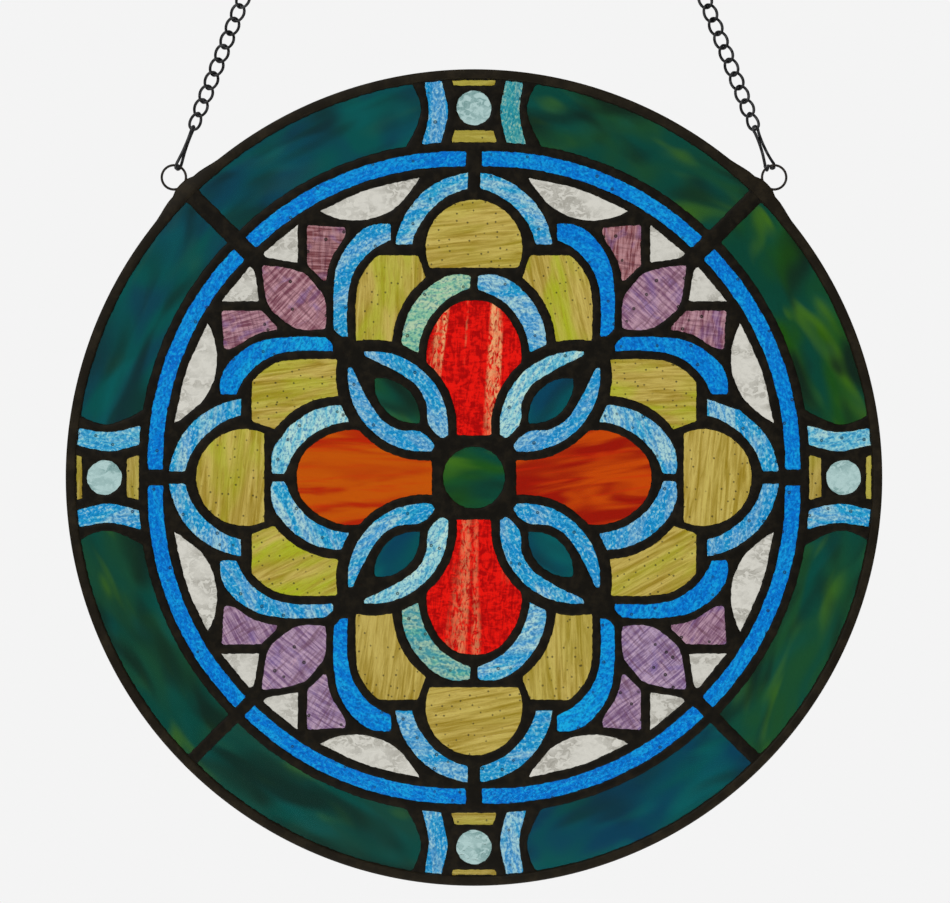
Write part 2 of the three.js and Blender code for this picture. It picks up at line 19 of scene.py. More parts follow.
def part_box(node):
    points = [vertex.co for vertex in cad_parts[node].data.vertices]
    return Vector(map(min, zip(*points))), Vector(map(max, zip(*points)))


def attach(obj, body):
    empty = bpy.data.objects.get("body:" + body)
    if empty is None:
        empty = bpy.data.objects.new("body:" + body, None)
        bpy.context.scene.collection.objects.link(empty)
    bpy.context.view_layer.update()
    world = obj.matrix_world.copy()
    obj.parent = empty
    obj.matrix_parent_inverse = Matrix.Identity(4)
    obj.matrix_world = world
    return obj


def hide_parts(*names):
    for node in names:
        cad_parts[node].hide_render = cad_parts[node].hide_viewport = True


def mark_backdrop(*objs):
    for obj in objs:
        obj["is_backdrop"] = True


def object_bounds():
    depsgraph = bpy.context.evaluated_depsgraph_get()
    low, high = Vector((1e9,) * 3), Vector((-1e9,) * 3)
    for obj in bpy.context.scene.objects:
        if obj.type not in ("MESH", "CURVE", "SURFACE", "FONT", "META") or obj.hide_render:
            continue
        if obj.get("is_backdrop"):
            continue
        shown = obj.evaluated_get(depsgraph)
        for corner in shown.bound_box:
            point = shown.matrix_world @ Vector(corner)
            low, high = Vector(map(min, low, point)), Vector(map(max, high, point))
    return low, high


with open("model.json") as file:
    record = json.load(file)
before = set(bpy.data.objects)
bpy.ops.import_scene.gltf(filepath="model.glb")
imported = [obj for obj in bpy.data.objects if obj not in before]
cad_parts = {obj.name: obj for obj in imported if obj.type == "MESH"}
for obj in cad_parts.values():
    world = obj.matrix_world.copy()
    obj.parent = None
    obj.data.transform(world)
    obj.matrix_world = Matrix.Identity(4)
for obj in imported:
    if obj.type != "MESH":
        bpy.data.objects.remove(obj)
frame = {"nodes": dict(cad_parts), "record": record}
size_at_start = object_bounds()
MM = 0.001
print("solid model:", len(frame["nodes"]), "nodes")

# %% [markdown]
# ## Where things are
# The panel hangs in the XZ plane with its front towards -Y. Its centre lies below the origin, and
# the boxes of the solids give it, and how far the leads, the rim and the glass stand forward. The two
# radii are the solid channel's own sizes: its outer edge, and its inner edge round the glass. All of
# it is drawn in millimetres round that centre, with x to the right and y up, and then stood up.

# %% Measure the panel
rim_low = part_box("rim_channel")[0]
lead_low, lead_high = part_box("leadwork")
CENTRE_X = 0.5 * (lead_low.x + lead_high.x) / MM
CENTRE_Z = 0.5 * (lead_low.z + lead_high.z) / MM
LEAD_FACE = -lead_low.y / MM
RIM_FACE = -rim_low.y / MM
GLASS_FACE = -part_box("petal_top")[0].y / MM
PANEL_RADIUS = 279.4
SIGHT_RADIUS = 273.0


def stand(x, y, out=0.0):
    """A point of the drawing stood up, with out measured forwards from the middle plane."""
    return Vector(((CENTRE_X + x) * MM, -out * MM, (CENTRE_Z + y) * MM))


print("panel centre", round(CENTRE_X, 2), round(CENTRE_Z, 2), "lead face", round(LEAD_FACE, 2))

# %% [markdown]
# ## Reading the openings of the leadwork
# The front of the solid leadwork is one flat face with an opening or a sunk field for each pane.
# An edge with the flat face on one side only is the edge of an opening, so following such edges
# from corner to corner gives one closed outline per pane, and the outermost one is the rim's bed.


# %% Follow the edges of the openings
def opening_outlines():
    lead = frame["nodes"]["leadwork"].data
    corners = [(v.co.x / MM - CENTRE_X, v.co.z / MM - CENTRE_Z, -v.co.y / MM) for v in lead.vertices]
    key = [(round(x, 3), round(y, 3), round(out, 3)) for x, y, out in corners]
    edge_count = {}
    for face in lead.polygons:
        ring = [key[i] for i in face.vertices]
        if all(abs(corner[2] - LEAD_FACE) < 0.01 for corner in ring):
            for a, b in zip(ring, ring[1:] + ring[:1]):
                edge_count[(a, b)] = edge_count.get((a, b), 0) + 1
    following = {a: b for a, b in edge_count if (b, a) not in edge_count}
    outlines = []
    while following:
        start, here = next(iter(following.items()))
        ring = [start]
        del following[start]
        while here != start:
            ring.append(here)
            here = following.pop(here)
        outlines.append(np.array([(x, y) for x, y, _ in ring]))
    return outlines


def area_of(ring):
    x, y = ring[:, 0], ring[:, 1]
    return 0.5 * float(np.sum(x * np.roll(y, -1) - y * np.roll(x, -1)))


all_outlines = sorted(opening_outlines(), key=lambda ring: -abs(area_of(ring)))
openings = [ring if area_of(ring) > 0 else ring[::-1] for ring in all_outlines[1:]]
print("openings and sunk fields:", len(openings))

# %% [markdown]
# ## Rounding the outlines
# The solid cuts every arc into flats, but each of its corners lies on the true curve. A smooth
# curve through the corners brings the arc back, while a turn that is too sharp for an arc is one of
# the pane's own corners and stays.

# %% Smooth an arc
CORNER_TURN = math.radians(38)


def turns(ring):
    before = ring - np.roll(ring, 1, axis=0)
    after = np.roll(ring, -1, axis=0) - ring
    cross = before[:, 0] * after[:, 1] - before[:, 1] * after[:, 0]
    return np.arctan2(cross, (before * after).sum(axis=1))


def smooth_run(run):
    """A curve through a run of corners, with its ends left free."""
    if len(run) == 2:
        return np.array([run[0] + (run[1] - run[0]) * t for t in np.linspace(0, 1, 8)[:-1]])
    padded = np.vstack([2 * run[0] - run[1], run, 2 * run[-1] - run[-2]])
    if len(run) > 3:
        first, last = run[1] - run[0], run[-1] - run[-2]
        bend_first, bend_last = run[2] - run[1], run[-2] - run[-3]
        padded[0] = run[0] - (2 * first - bend_first)
        padded[-1] = run[-1] + (2 * last - bend_last)
    points = []
    for a, b, c, d in zip(padded, padded[1:], padded[2:], padded[3:]):
        reach = np.linalg.norm(c - b)
        tangent_b = (c - a) / np.linalg.norm(c - a) * reach
        tangent_c = (d - b) / np.linalg.norm(d - b) * reach
        for t in np.arange(0, 1, 0.1):
            points.append(
                (2 * t**3 - 3 * t**2 + 1) * b
                + (t**3 - 2 * t**2 + t) * tangent_b
                + (3 * t**2 - 2 * t**3) * c
                + (t**3 - t**2) * tangent_c
            )
    return np.array(points)


print("corners that stay sharp:", sum(int(np.sum(np.abs(turns(ring)) > CORNER_TURN)) for ring in openings))

# %% [markdown]
# ## Cutting by hand
# Glass is nipped and ground by hand, so each corner is slightly blunt and each edge wanders a
# little, differently for every pane. The solder then spreads a little over the edge of the glass,
# which makes every opening smaller than the one in the solid. Both are done by moving the points of
# the outline sideways, which is simpler than a modifier and can be repeated for each pane.

# %% Roughen an outline
OUTLINE_STEP = 1.9
FINE_STEP = 0.5
SOLDER_SPREAD = 0.3
CORNER_BLUNTING = 0.5
EDGE_WANDER = 0.3
WANDER_SPANS = (34, 17, 9, 6, 4.6)


def even_steps(ring, step):
    closed = np.vstack([ring, ring[:1]])
    lengths = np.r_[0, np.cumsum(np.linalg.norm(np.diff(closed, axis=0), axis=1))]
    count = max(12, int(round(lengths[-1] / step)))
    places = np.linspace(0, lengths[-1], count, endpoint=False)
    return np.column_stack([np.interp(places, lengths, closed[:, k]) for k in (0, 1)])


def blunted(ring, spread):
    """Each point becomes a weighted mean of its neighbours, which blunts the corners only."""
    reach = int(math.ceil(2.5 * spread / FINE_STEP))
    shifts = range(-reach, reach + 1)
    weights = np.array([math.exp(-0.5 * (s * FINE_STEP / spread) ** 2) for s in shifts])
    return sum(w * np.roll(ring, s, axis=0) for w, s in zip(weights / weights.sum(), shifts))


def outward(ring):
    along = np.roll(ring, -1, axis=0) - np.roll(ring, 1, axis=0)
    along /= np.linalg.norm(along, axis=1)[:, None]
    return np.column_stack([along[:, 1], -along[:, 0]])


def wander(length, chance, waves, size):
    """A closed run of small sideways steps, made of a few waves with chance phases."""
    places = np.linspace(0, 2 * math.pi, length, endpoint=False)
    total = np.zeros(length)
    for wave in waves:
        total += chance.uniform(0.4, 1) * np.sin(wave * places + chance.uniform(0, 6.28))
    return size * total / math.sqrt(len(waves))


def hand_cut(corners, chance):
    sharp = [i for i, turn in enumerate(turns(corners)) if abs(turn) > CORNER_TURN]
    if sharp:
        runs = []
        for a, b in zip(sharp, sharp[1:] + [sharp[0] + len(corners)]):
            runs.append(smooth_run(np.array([corners[i % len(corners)] for i in range(a, b + 1)])))
        curve = np.vstack(runs)
    else:
        looped = np.vstack([corners[-1:], corners, corners[:2]])
        curve = smooth_run(looped)[10:-10]
    fine = blunted(even_steps(curve, FINE_STEP), CORNER_BLUNTING)
    perimeter = len(fine) * FINE_STEP
    waves = [max(2, int(perimeter / span)) for span in WANDER_SPANS]
    aside = wander(len(fine), chance, waves, EDGE_WANDER) - SOLDER_SPREAD
    fine = fine + outward(fine) * aside[:, None]
    return even_steps(fine, OUTLINE_STEP)


chance = random.Random(11)
outlines = [hand_cut(ring, chance) for ring in openings]
print("outline points:", sum(len(ring) for ring in outlines))

# %% [markdown]
# ## Naming the panes
# The big panes have their own solids, and the small tiles are part of the solid leadwork. A pane is
# known by its place: the pattern repeats four times round and mirrors on each arm's axis, so the
# distance from the centre and the angle from the nearest axis tell the families apart.

# %% Give every opening its name
# Roughly how far out each family lies, in millimetres, and its degrees from the nearest axis
TILE_PLACES = {
    "leaf_band": (74, 32),
    "petal_band": (119, 15),
    "cap_band": (189, 10),
    "ogee_band": (164, 30),
    "violet_side": (189, 33),
    "small_clear": (203, 40),
    "border_band": (252, 6),
    "olive_inner": (232, 0),
    "round": (253, 0),
    "olive_outer": (271, 0),
}
ARM_NAMES = ["right", "top", "left", "bottom"]
CLOCK_NAMES = ["2", "1", "11", "10", "8", "7", "5", "4"]
WHOLE_FAMILIES = {"centre", "petal", "cap", "leaf", "violet", "lobe", "clear", "circlet", "border"}
WHOLE_NODES = [name for name in frame["nodes"] if name.split("_")[0] in WHOLE_FAMILIES]


def middle(ring):
    return ring.mean(axis=0)


def node_middle(name):
    low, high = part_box(name)
    centre = 0.5 * (low + high) / MM
    return np.array([centre.x - CENTRE_X, centre.z - CENTRE_Z])


def tile_name(ring):
    x, y = middle(ring)
    angle = math.degrees(math.atan2(y, x)) % 360
    off_axis = abs((angle + 45) % 90 - 45)
    place = math.radians(off_axis)
    here = math.hypot(x, y) * np.array([math.cos(place), math.sin(place)])

    def distance(family):
        radius, turn = TILE_PLACES[family]
        away = radius * np.array([math.cos(math.radians(turn)), math.sin(math.radians(turn))])
        return np.linalg.norm(here - away)

    family = min(TILE_PLACES, key=distance)
    if TILE_PLACES[family][1] == 0:
        return f"{family}_{ARM_NAMES[int((angle + 45) // 90) % 4]}"
    return f"{family}_{CLOCK_NAMES[int(angle // 45)]}"


def box_middle(ring):
    return 0.5 * (ring.min(axis=0) + ring.max(axis=0))


names = [None] * len(outlines)
for node in WHOLE_NODES:
    away = [np.linalg.norm(box_middle(ring) - node_middle(node)) for ring in outlines]
    names[int(np.argmin(away))] = node
names = [name or tile_name(ring) for name, ring in zip(names, outlines)]
panes = dict(zip(names, outlines))
print("panes:", len(panes), "of", len(outlines))

# %% [markdown]
# ## Writing materials as sums
# A shader is a graph of small nodes. One class wraps a socket so that ordinary arithmetic builds
# Math nodes, and one method adds any other node from its type, its settings and its inputs. The
# same class serves the Geometry Nodes trees further down.


# %% A socket that can be added and multiplied
class Graph:
    """A node tree under construction."""

    def __init__(self, tree):
        self.tree = tree

    def add(self, node_type, settings=None, *values, output=0, **named):
        node = self.tree.nodes.new(node_type)
        for name, value in (settings or {}).items():
            setattr(node, name, value)
        for place, value in list(enumerate(values)) + list(named.items()):
            self.feed(node.inputs[place.replace("_", " ") if isinstance(place, str) else place], value)
        return Sock(self, node.outputs[output])

    def feed(self, socket, value):
        if isinstance(value, Sock):
            self.tree.links.new(value.socket, socket)
        else:
            socket.default_value = value

    def do(self, operation, *values):
        return self.add("ShaderNodeMath", {"operation": operation}, *values)


class Sock:
    """One output of a node, with Python's operators turned into Math nodes."""

    def __init__(self, graph, socket):
        self.graph = graph
        self.socket = socket

    def __neg__(self):
        return self.graph.do("MULTIPLY", self, -1.0)

    def between(self, low, high):
        """0 below low, 1 above high, and smooth in between."""
        settings = {"interpolation_type": "SMOOTHSTEP"}
        return self.graph.add("ShaderNodeMapRange", settings, self, low, high, 0.0, 1.0)


def operator(operation, turned=False):
    """A method that adds one Math node, with the two sides turned round for 1 - mask."""

    def apply(self, other):
        return self.graph.do(operation, *((other, self) if turned else (self, other)))

    return apply


OPERATORS = {"add": "ADD", "sub": "SUBTRACT", "mul": "MULTIPLY", "truediv": "DIVIDE"}
for name, operation in OPERATORS.items():
    setattr(Sock, f"__{name}__", operator(operation))
    setattr(Sock, f"__r{name}__", operator(operation, turned=True))
print("sums that a socket understands:", *OPERATORS)

# %% [markdown]
# ## Colours, noise and bumps
# The same few steps make every finish: a colour given as it looks on a screen, a blend of two
# colours, a noise read at a place, and a bump from a height. As functions they keep each finish down
# to a few lines that can be read as a recipe.


# %% Steps that every finish uses
def linear(red, green, blue):
    """A colour as it looks on a screen, 0 to 255, turned into light."""
    parts = [part / 255 for part in (red, green, blue)]
    return tuple(p / 12.92 if p <= 0.04045 else ((p + 0.055) / 1.055) ** 2.4 for p in parts) + (1.0,)


def new_material(name):
    material = bpy.data.materials.new(name)
    material.use_nodes = True
    graph = Graph(material.node_tree)
    shader = material.node_tree.nodes["Principled BSDF"]
    return material, graph, shader


def blend(graph, factor, first, second, mode="MIX"):
    node = graph.tree.nodes.new("ShaderNodeMix")
    node.data_type = "RGBA"
    node.blend_type = mode
    graph.feed(node.inputs["Factor"], factor)
    graph.feed(node.inputs[6], first)
    graph.feed(node.inputs[7], second)
    return Sock(graph, node.outputs[2])


def noise(graph, place, scale, detail=2.0, roughness=0.5, distortion=0.0):
    return graph.add(
        "ShaderNodeTexNoise", {}, Vector=place, Scale=scale, Detail=detail,
        Roughness=roughness, Distortion=distortion,
    )


def stretched(graph, place, along, across):
    """The same place with its two directions drawn out differently, for streaks and grain."""
    scale = (1 / along, 1 / across, 1.0)
    return graph.add("ShaderNodeVectorMath", {"operation": "MULTIPLY"}, place, scale)


def parts_of(graph, place):
    node = graph.tree.nodes.new("ShaderNodeSeparateXYZ")
    graph.feed(node.inputs[0], place)
    return [Sock(graph, node.outputs[i]) for i in range(3)]


def bump(graph, shader, height, distance, strength=1.0):
    normal = graph.add("ShaderNodeBump", {}, Strength=strength, Distance=distance, Height=height)
    graph.feed(shader.inputs["Normal"], normal)


print("middle grey in light:", round(linear(128, 128, 128)[0], 3))

# %% [markdown]
# ## The blackened metal
# The leads and the solder over them are darkened with patina, a thin chemical skin that leaves a
# warm black with a soft shine. It wears a little thinner on the high places, so the colour and the
# roughness both follow slow noise, and a fine bump gives the slightly lumpy look of melted solder.
# On the wire the paler colour is partly wear and partly painted sheen: grey highlight streaks
# laid into the colour.


# %% Patina on solder and on wire
def patina(name, dark, worn_and_sheen_colour, grain, shine, lump, gloss=0.24):
    material, graph, shader = new_material(name)
    place = graph.add("ShaderNodeTexCoord", {}, output=3)
    cloud = noise(graph, place, grain, 3.0, 0.6)
    fine = noise(graph, place, grain * 9, 2.0, 0.6)
    # On the hanging wire the paler colour is partly painted sheen, so this mask also places painted
    # highlights.
    wear_and_sheen = (cloud + 0.35 * fine).between(0.55, 0.95)
    graph.feed(shader.inputs["Base Color"], blend(graph, wear_and_sheen, dark, worn_and_sheen_colour))
    graph.feed(shader.inputs["Roughness"], shine + 0.18 * cloud)
    bump(graph, shader, cloud + 0.3 * fine, lump)
    shader.inputs["Specular IOR Level"].default_value = gloss
    return material


SOLDER = patina("black_patina_solder", linear(23, 18, 7), linear(40, 32, 15), 160.0, 0.42, 0.0002)
CHANNEL = patina("patina_channel", linear(34, 27, 13), linear(50, 41, 23), 90.0, 0.4, 0.0001)
# The wire's pale grey second colour is partly wear and partly painted sheen: highlight streaks along the
# wire, put into the colour.
WIRE = patina("blackened_wire", linear(15, 15, 16), linear(72, 72, 74), 300.0, 0.25, 0.00004, 0.9)
SOLDERED_RING = patina(
    "patina_ring_wire", linear(36, 30, 24), linear(72, 62, 52), 300.0, 0.34, 0.00004, 0.5
)
print("patina finishes:", *(metal.name for metal in (SOLDER, CHANNEL, WIRE, SOLDERED_RING)))

# %% [markdown]
# ## The leadwork as rounded solder
# On the real panel each lead is a bead of solder, five to seven millimetres wide, that rounds down
# to the glass on both sides and swells where several leads meet. A ridge that follows every pane
# could be swept as a tube, but the joints would then be a mess of crossing tubes. Here the height
# simply follows the distance from the nearest pane, with slow lumps as hand soldering leaves them.

# %% How high the solder stands
BEAD_HALF = 2.7
BEAD_SINK = 0.05
LUMPS_START = 0.2


def bead_height(distance):
    share = 1 - np.clip(distance / BEAD_HALF, 0, 1)
    return GLASS_FACE - BEAD_SINK + (LEAD_FACE - GLASS_FACE) * np.sqrt(1 - share**2)


def lumps(x, y):
    slow = np.sin(0.11 * x + 0.07 * y + 1) * np.sin(0.09 * y - 0.06 * x + 2)
    quick = np.sin(0.43 * x - 0.31 * y) * np.sin(0.37 * y + 0.29 * x + 4)
    return 0.09 * slow + 0.06 * quick


print("solder stands", round(float(bead_height(BEAD_HALF)) - GLASS_FACE, 2), "mm above the glass")

# %% [markdown]
# ## Points for the crest
# Between the panes the crest needs points of its own, or it would be closed with long thin
# triangles. They lie on a loose grid, each moved by chance, and those that fall in a pane or too
# near to one are left out.

# %% Scatter points over the leads
BEAD_STEPS = [0.0, 0.4, 1.0, 1.7]
CREST_SPACING = 2.9
CREST_GAP = 0.7
EDGE_GAP = 1
MEASURE_STEP = 0.9
LEAD_EDGE_RADIUS = 276.3
PANE_BOXES = [(ring.min(axis=0), ring.max(axis=0), ring) for ring in outlines]


def in_a_pane(x, y):
    for low, high, ring in PANE_BOXES:
        if low[0] < x < high[0] and low[1] < y < high[1]:
            a, b = ring, np.roll(ring, -1, axis=0)
            spans = (a[:, 1] > y) != (b[:, 1] > y)
            share = (y - a[spans, 1]) / (b[spans, 1] - a[spans, 1])
            cut = a[spans, 0] + share * (b[spans, 0] - a[spans, 0])
            if np.count_nonzero(cut > x) % 2:
                return True
    return False


def crest_points(nearest, chance):
    found = []
    count = int(LEAD_EDGE_RADIUS / CREST_SPACING)
    for i in range(-count, count + 1):
        for j in range(-count, count + 1):
            x = (i + chance.uniform(-0.3, 0.3)) * CREST_SPACING
            y = (j + chance.uniform(-0.3, 0.3)) * CREST_SPACING
            if math.hypot(x, y) < LEAD_EDGE_RADIUS - EDGE_GAP:
                if nearest.find((x, y, 0))[2] > BEAD_STEPS[-1] + CREST_GAP and not in_a_pane(x, y):
                    found.append((x, y))
    return found


def distance_finder(step):
    """A search tree over all the outlines, which finds the nearest pane's edge."""
    everything = [tuple(p) for ring in outlines for p in even_steps(ring, step)]
    nearest = KDTree(len(everything))
    for i, (x, y) in enumerate(everything):
        nearest.insert((x, y, 0), i)
    nearest.balance()
    return nearest


NEAREST = distance_finder(MEASURE_STEP)
CREST = crest_points(NEAREST, random.Random(5))
print("points on the crest:", len(CREST))

# %% [markdown]
# ## Closing the leadwork
# Narrow strips climb from each outline, and one triangulated field closes the crest between them, so
# that joints come out swollen by themselves. The back is the front mirrored, and short walls down
# each pane and round the outer edge make it one closed shell.

# %% Build the leadwork
LEAD_EDGE_POINTS = 720


def build_leadwork():
    rings = [[ring + outward(ring) * step for step in BEAD_STEPS] for ring in outlines]
    edge_angles = np.linspace(0, 2 * math.pi, LEAD_EDGE_POINTS, endpoint=False)
    edge = LEAD_EDGE_RADIUS * np.column_stack([np.cos(edge_angles), np.sin(edge_angles)])
    field, faces = [tuple(p) for p in edge], [list(range(LEAD_EDGE_POINTS))]
    for steps in rings:
        first = len(field)
        field += [tuple(p) for p in steps[-1]]
        faces.append(list(range(first, len(field))))
    field += CREST
    drawn = [Vector(p) for p in field]
    points, _, triangles, from_points, _, from_faces = delaunay_2d_cdt(drawn, [], faces, 1, 1e-5, True)
    crest = [tri for tri, origin in zip(triangles, from_faces) if 0 in origin and len(origin) == 1]
    moved = {old: new for new, olds in enumerate(from_points) for old in olds}

    flat = np.array([tuple(p) for p in points])
    away = np.array([NEAREST.find((x, y, 0))[2] for x, y in flat])
    heights = bead_height(away)
    strips = []
    pane_edges = []
    cursor = LEAD_EDGE_POINTS
    for steps in rings:
        count = len(steps[0])
        ids = []
        for step, ring in zip(BEAD_STEPS[:-1], steps[:-1]):
            ids.append(list(range(len(flat), len(flat) + count)))
            flat = np.vstack([flat, ring])
            heights = np.r_[heights, np.full(count, bead_height(step))]
        ids.append([moved[cursor + i] for i in range(count)])
        cursor += count
        pane_edges.append(ids[0])
        for inner, outer in zip(ids, ids[1:]):
            for i in range(count):
                j = (i + 1) % count
                strips.append((inner[i], outer[i], outer[j], inner[j]))
    lumpy = heights > GLASS_FACE + LUMPS_START
    heights = heights + np.where(lumpy, lumps(flat[:, 0], flat[:, 1]), 0)
    total = len(flat)
    front = [stand(x, y, h) for (x, y), h in zip(flat, heights)]
    back = [stand(x, y, -h) for (x, y), h in zip(flat, heights)]
    shell = [tuple(tri) for tri in crest] + strips
    turned = [tuple(total + i for i in reversed(face)) for face in shell]
    walls = []
    for ids in pane_edges:
        for i in range(len(ids)):
            a, b = ids[i], ids[(i + 1) % len(ids)]
            walls.append((a, b, b + total, a + total))
    for i in range(LEAD_EDGE_POINTS):
        a, b = moved[i], moved[(i + 1) % LEAD_EDGE_POINTS]
        walls.append((b, a, a + total, b + total))
    return front + back, shell + turned + walls


lead_points, lead_faces = build_leadwork()
print("leadwork:", len(lead_points), "points,", len(lead_faces), "faces")

# %% [markdown]
# ## A piece of the scene
# Every dressed piece is a mesh that rides on the part's one body and takes the place of one or
# more solids. One function makes the object, and a second one first makes the mesh from points
# and faces.

# %% Make the leads a piece
def place_mesh(name, mesh, nodes, smooth=True):
    piece = bpy.data.objects.new(name, mesh)
    bpy.context.scene.collection.objects.link(piece)
    for polygon in mesh.polygons:
        polygon.use_smooth = smooth
    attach(piece, "root")
    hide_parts(*nodes)
    return piece


def new_piece(name, points, faces, material, nodes, smooth=True):
    mesh = bpy.data.meshes.new(name)
    mesh.from_pydata([tuple(p) for p in points], [], faces)
    mesh.validate()
    mesh.materials.append(material)
    return place_mesh(name, mesh, nodes, smooth)


leads = new_piece("leads", lead_points, lead_faces, SOLDER, ["leadwork"])
print("leadwork:", sum(len(p.vertices) - 2 for p in leads.data.polygons), "triangles")

# %% [markdown]
# ## Sheets of art glass
# The glass comes in sheets about 3 mm thick. Colour is stirred into the melt, so it lies in clouds,
# streaks or a grain that runs one way along the sheet, with small bubbles called seeds. Each sheet
# is one material that reads a map laid on the pane, so a pane shows its own cut from the sheet with
# its grain turned as the maker chose. Two numbers kept on the pane, tone and depth, pick how far it
# leans to the sheet's second colour and how dark it is. The clear shader does the rest: light comes
# through from behind, and the ripple on the surface bends it.

# %% What every sheet has in common
LIGHT_BEHIND = 0.905
LOST_IN_GLASS = 1.1


def through(red, green, blue):
    """The glass colour that shows as this screen colour with the pale light behind it."""
    parts = linear(red, green, blue)[:3]
    return tuple(min(1.0, LOST_IN_GLASS * part / LIGHT_BEHIND) for part in parts) + (1.0,)


class Sheet:
    """One sheet of glass being made: its map, the numbers of the pane, and its shader."""

    def __init__(self, name):
        self.material, self.graph, self.shader = new_material(name)
        self.place = self.graph.add("ShaderNodeUVMap", {"uv_map": "sheet"})
        self.tone = self.number("tone")
        self.depth = self.number("depth")

    def number(self, name):
        return self.graph.add("ShaderNodeAttribute", {"attribute_name": name}, output=2)

    def streaks(self, along, across, detail=3.0, distortion=0.4):
        """Noise whose patches are this long and this wide on the sheet, in metres."""
        place = stretched(self.graph, self.place, along, across)
        return noise(self.graph, place, 1.0, detail, 0.55, distortion)

    def cells(self, spacing, output=0):
        place = stretched(self.graph, self.place, spacing, spacing)
        flat = {"voronoi_dimensions": "2D"}
        return self.graph.add("ShaderNodeTexVoronoi", flat, Vector=place, Scale=1.0, output=output)

    def mix(self, factor, first, second, mode="MIX"):
        return blend(self.graph, factor, first, second, mode)

    def seeds(self, colour, spacing, size, strength):
        """Small bubbles, each a dark ring round a lighter middle."""
        away = self.cells(spacing)
        chosen = parts_of(self.graph, self.cells(spacing, output=1))[0]
        wide = size * (0.55 + 0.8 * chosen)
        ring = away.between(wide * 0.1, wide * 0.5) * (1 - away.between(wide * 0.75, wide * 1.25))
        return self.mix(ring * strength * chosen.between(0.35, 0.6), colour, (0.015, 0.015, 0.01, 1.0))

    def finish(self, colour, ripple, ripple_depth, roughness):
        shade = self.mix(self.depth, (1.0, 1.0, 1.0, 1.0), (0.25, 0.25, 0.27, 1.0))
        self.graph.feed(self.shader.inputs["Base Color"], self.mix(1.0, colour, shade, "MULTIPLY"))
        bump(self.graph, self.shader, ripple, ripple_depth)
        self.shader.inputs["Roughness"].default_value = roughness
        self.shader.inputs["Transmission Weight"].default_value = 1.0
        self.shader.inputs["IOR"].default_value = 1.5
        return self.material


print("light behind the glass:", LIGHT_BEHIND)

# %% [markdown]
# ## Green, red and orange sheets
# The greens and oranges are stirred while soft, so their colours lie in wide clouds and tongues with
# no sharp edge. The red is streaked, with paler threads where the melt was thin. Slow noise, drawn
# out along the sheet, gives the clouds, and quicker noise of the same kind gives the threads.


# %% Sheets with stirred colour
def clouded_sheet(name):
    """Dark green and teal, stirred in soft wide clouds with a few bright wisps."""
    sheet = Sheet(name)
    cloud = sheet.streaks(0.06, 0.026, 1.0, 0.6)
    wisp = sheet.streaks(0.05, 0.016, 1.0, 0.5)
    shadow = sheet.streaks(0.07, 0.024, 1.0, 0.6)
    glow = sheet.streaks(0.05, 0.022, 1.0, 0.4)
    teal = sheet.mix(cloud.between(0.34, 0.66), through(2, 80, 78), through(4, 60, 84))
    green = sheet.mix(cloud.between(0.34, 0.66), through(6, 66, 50), through(28, 78, 14))
    colour = sheet.mix(sheet.tone, teal, green)
    colour = sheet.mix(glow.between(0.5, 0.75) * (0.55 - 0.4 * sheet.tone), colour, through(4, 94, 94))
    colour = sheet.mix(wisp.between(0.52, 0.8) * 0.7 * sheet.tone, colour, through(74, 118, 4))
    colour = sheet.mix(shadow.between(0.44, 0.7) * (0.6 + 0.3 * sheet.tone), colour, through(14, 32, 24))
    return sheet.finish(colour, cloud, 0.0004, 0.22)


def streaky_red_sheet(name, pale, flecks):
    """Red with close, slightly crossed streaks, and paler threads where the melt was thin."""
    sheet = Sheet(name)
    streak = sheet.streaks(0.016, 0.004, 3.0, 1.6)
    crossing = sheet.streaks(0.0035, 0.008, 3.0, 1.2)
    fleck = sheet.streaks(0.006, 0.0026, 3.0, 1.4)
    broad = sheet.streaks(0.25, 0.015, 2.0, 0.3)
    mottle = 0.5 * streak + 0.5 * crossing
    colour = sheet.mix(mottle.between(0.42, 0.58), through(160, 2, 2), through(222, 18, 8))
    thin = broad.between(0.55, 0.66)
    colour = sheet.mix(thin * fleck.between(0.38, 0.6) * (flecks * sheet.tone), colour, pale)
    return sheet.finish(colour, mottle, 0.0003, 0.2)


def stirred_orange_sheet(name):
    """Orange and deep red stirred softly together, in long tongues."""
    sheet = Sheet(name)
    tongue = sheet.streaks(0.09, 0.014, 2.0, 0.9)
    thread = sheet.streaks(0.06, 0.004, 2.0, 0.6)
    redder = sheet.mix(tongue.between(0.38, 0.62), through(186, 64, 2), through(142, 15, 2))
    yellower = sheet.mix(tongue.between(0.42, 0.66), through(184, 82, 2), through(172, 36, 2))
    colour = sheet.mix(sheet.tone, redder, yellower)
    colour = sheet.mix(thread.between(0.52, 0.72) * 0.4, colour, through(190, 34, 4))
    return sheet.finish(colour, tongue, 0.0003, 0.2)


SHEETS = {
    "clouded": clouded_sheet("clouded_green_glass"),
    "red": streaky_red_sheet("streaky_red_glass", through(248, 176, 120), 0.8),
    "orange": stirred_orange_sheet("stirred_orange_glass"),
}
print("stirred sheets:", *SHEETS)

# %% [markdown]
# ## Amber and violet sheets
# The amber has a grain like wood, and the violet was combed one way and rippled the other, so it
# looks woven. Both come from the same noise drawn out very long and thin, laid one over the other.
# The noise also raises the surface, so that colour and ripple agree, and both sheets have seeds.


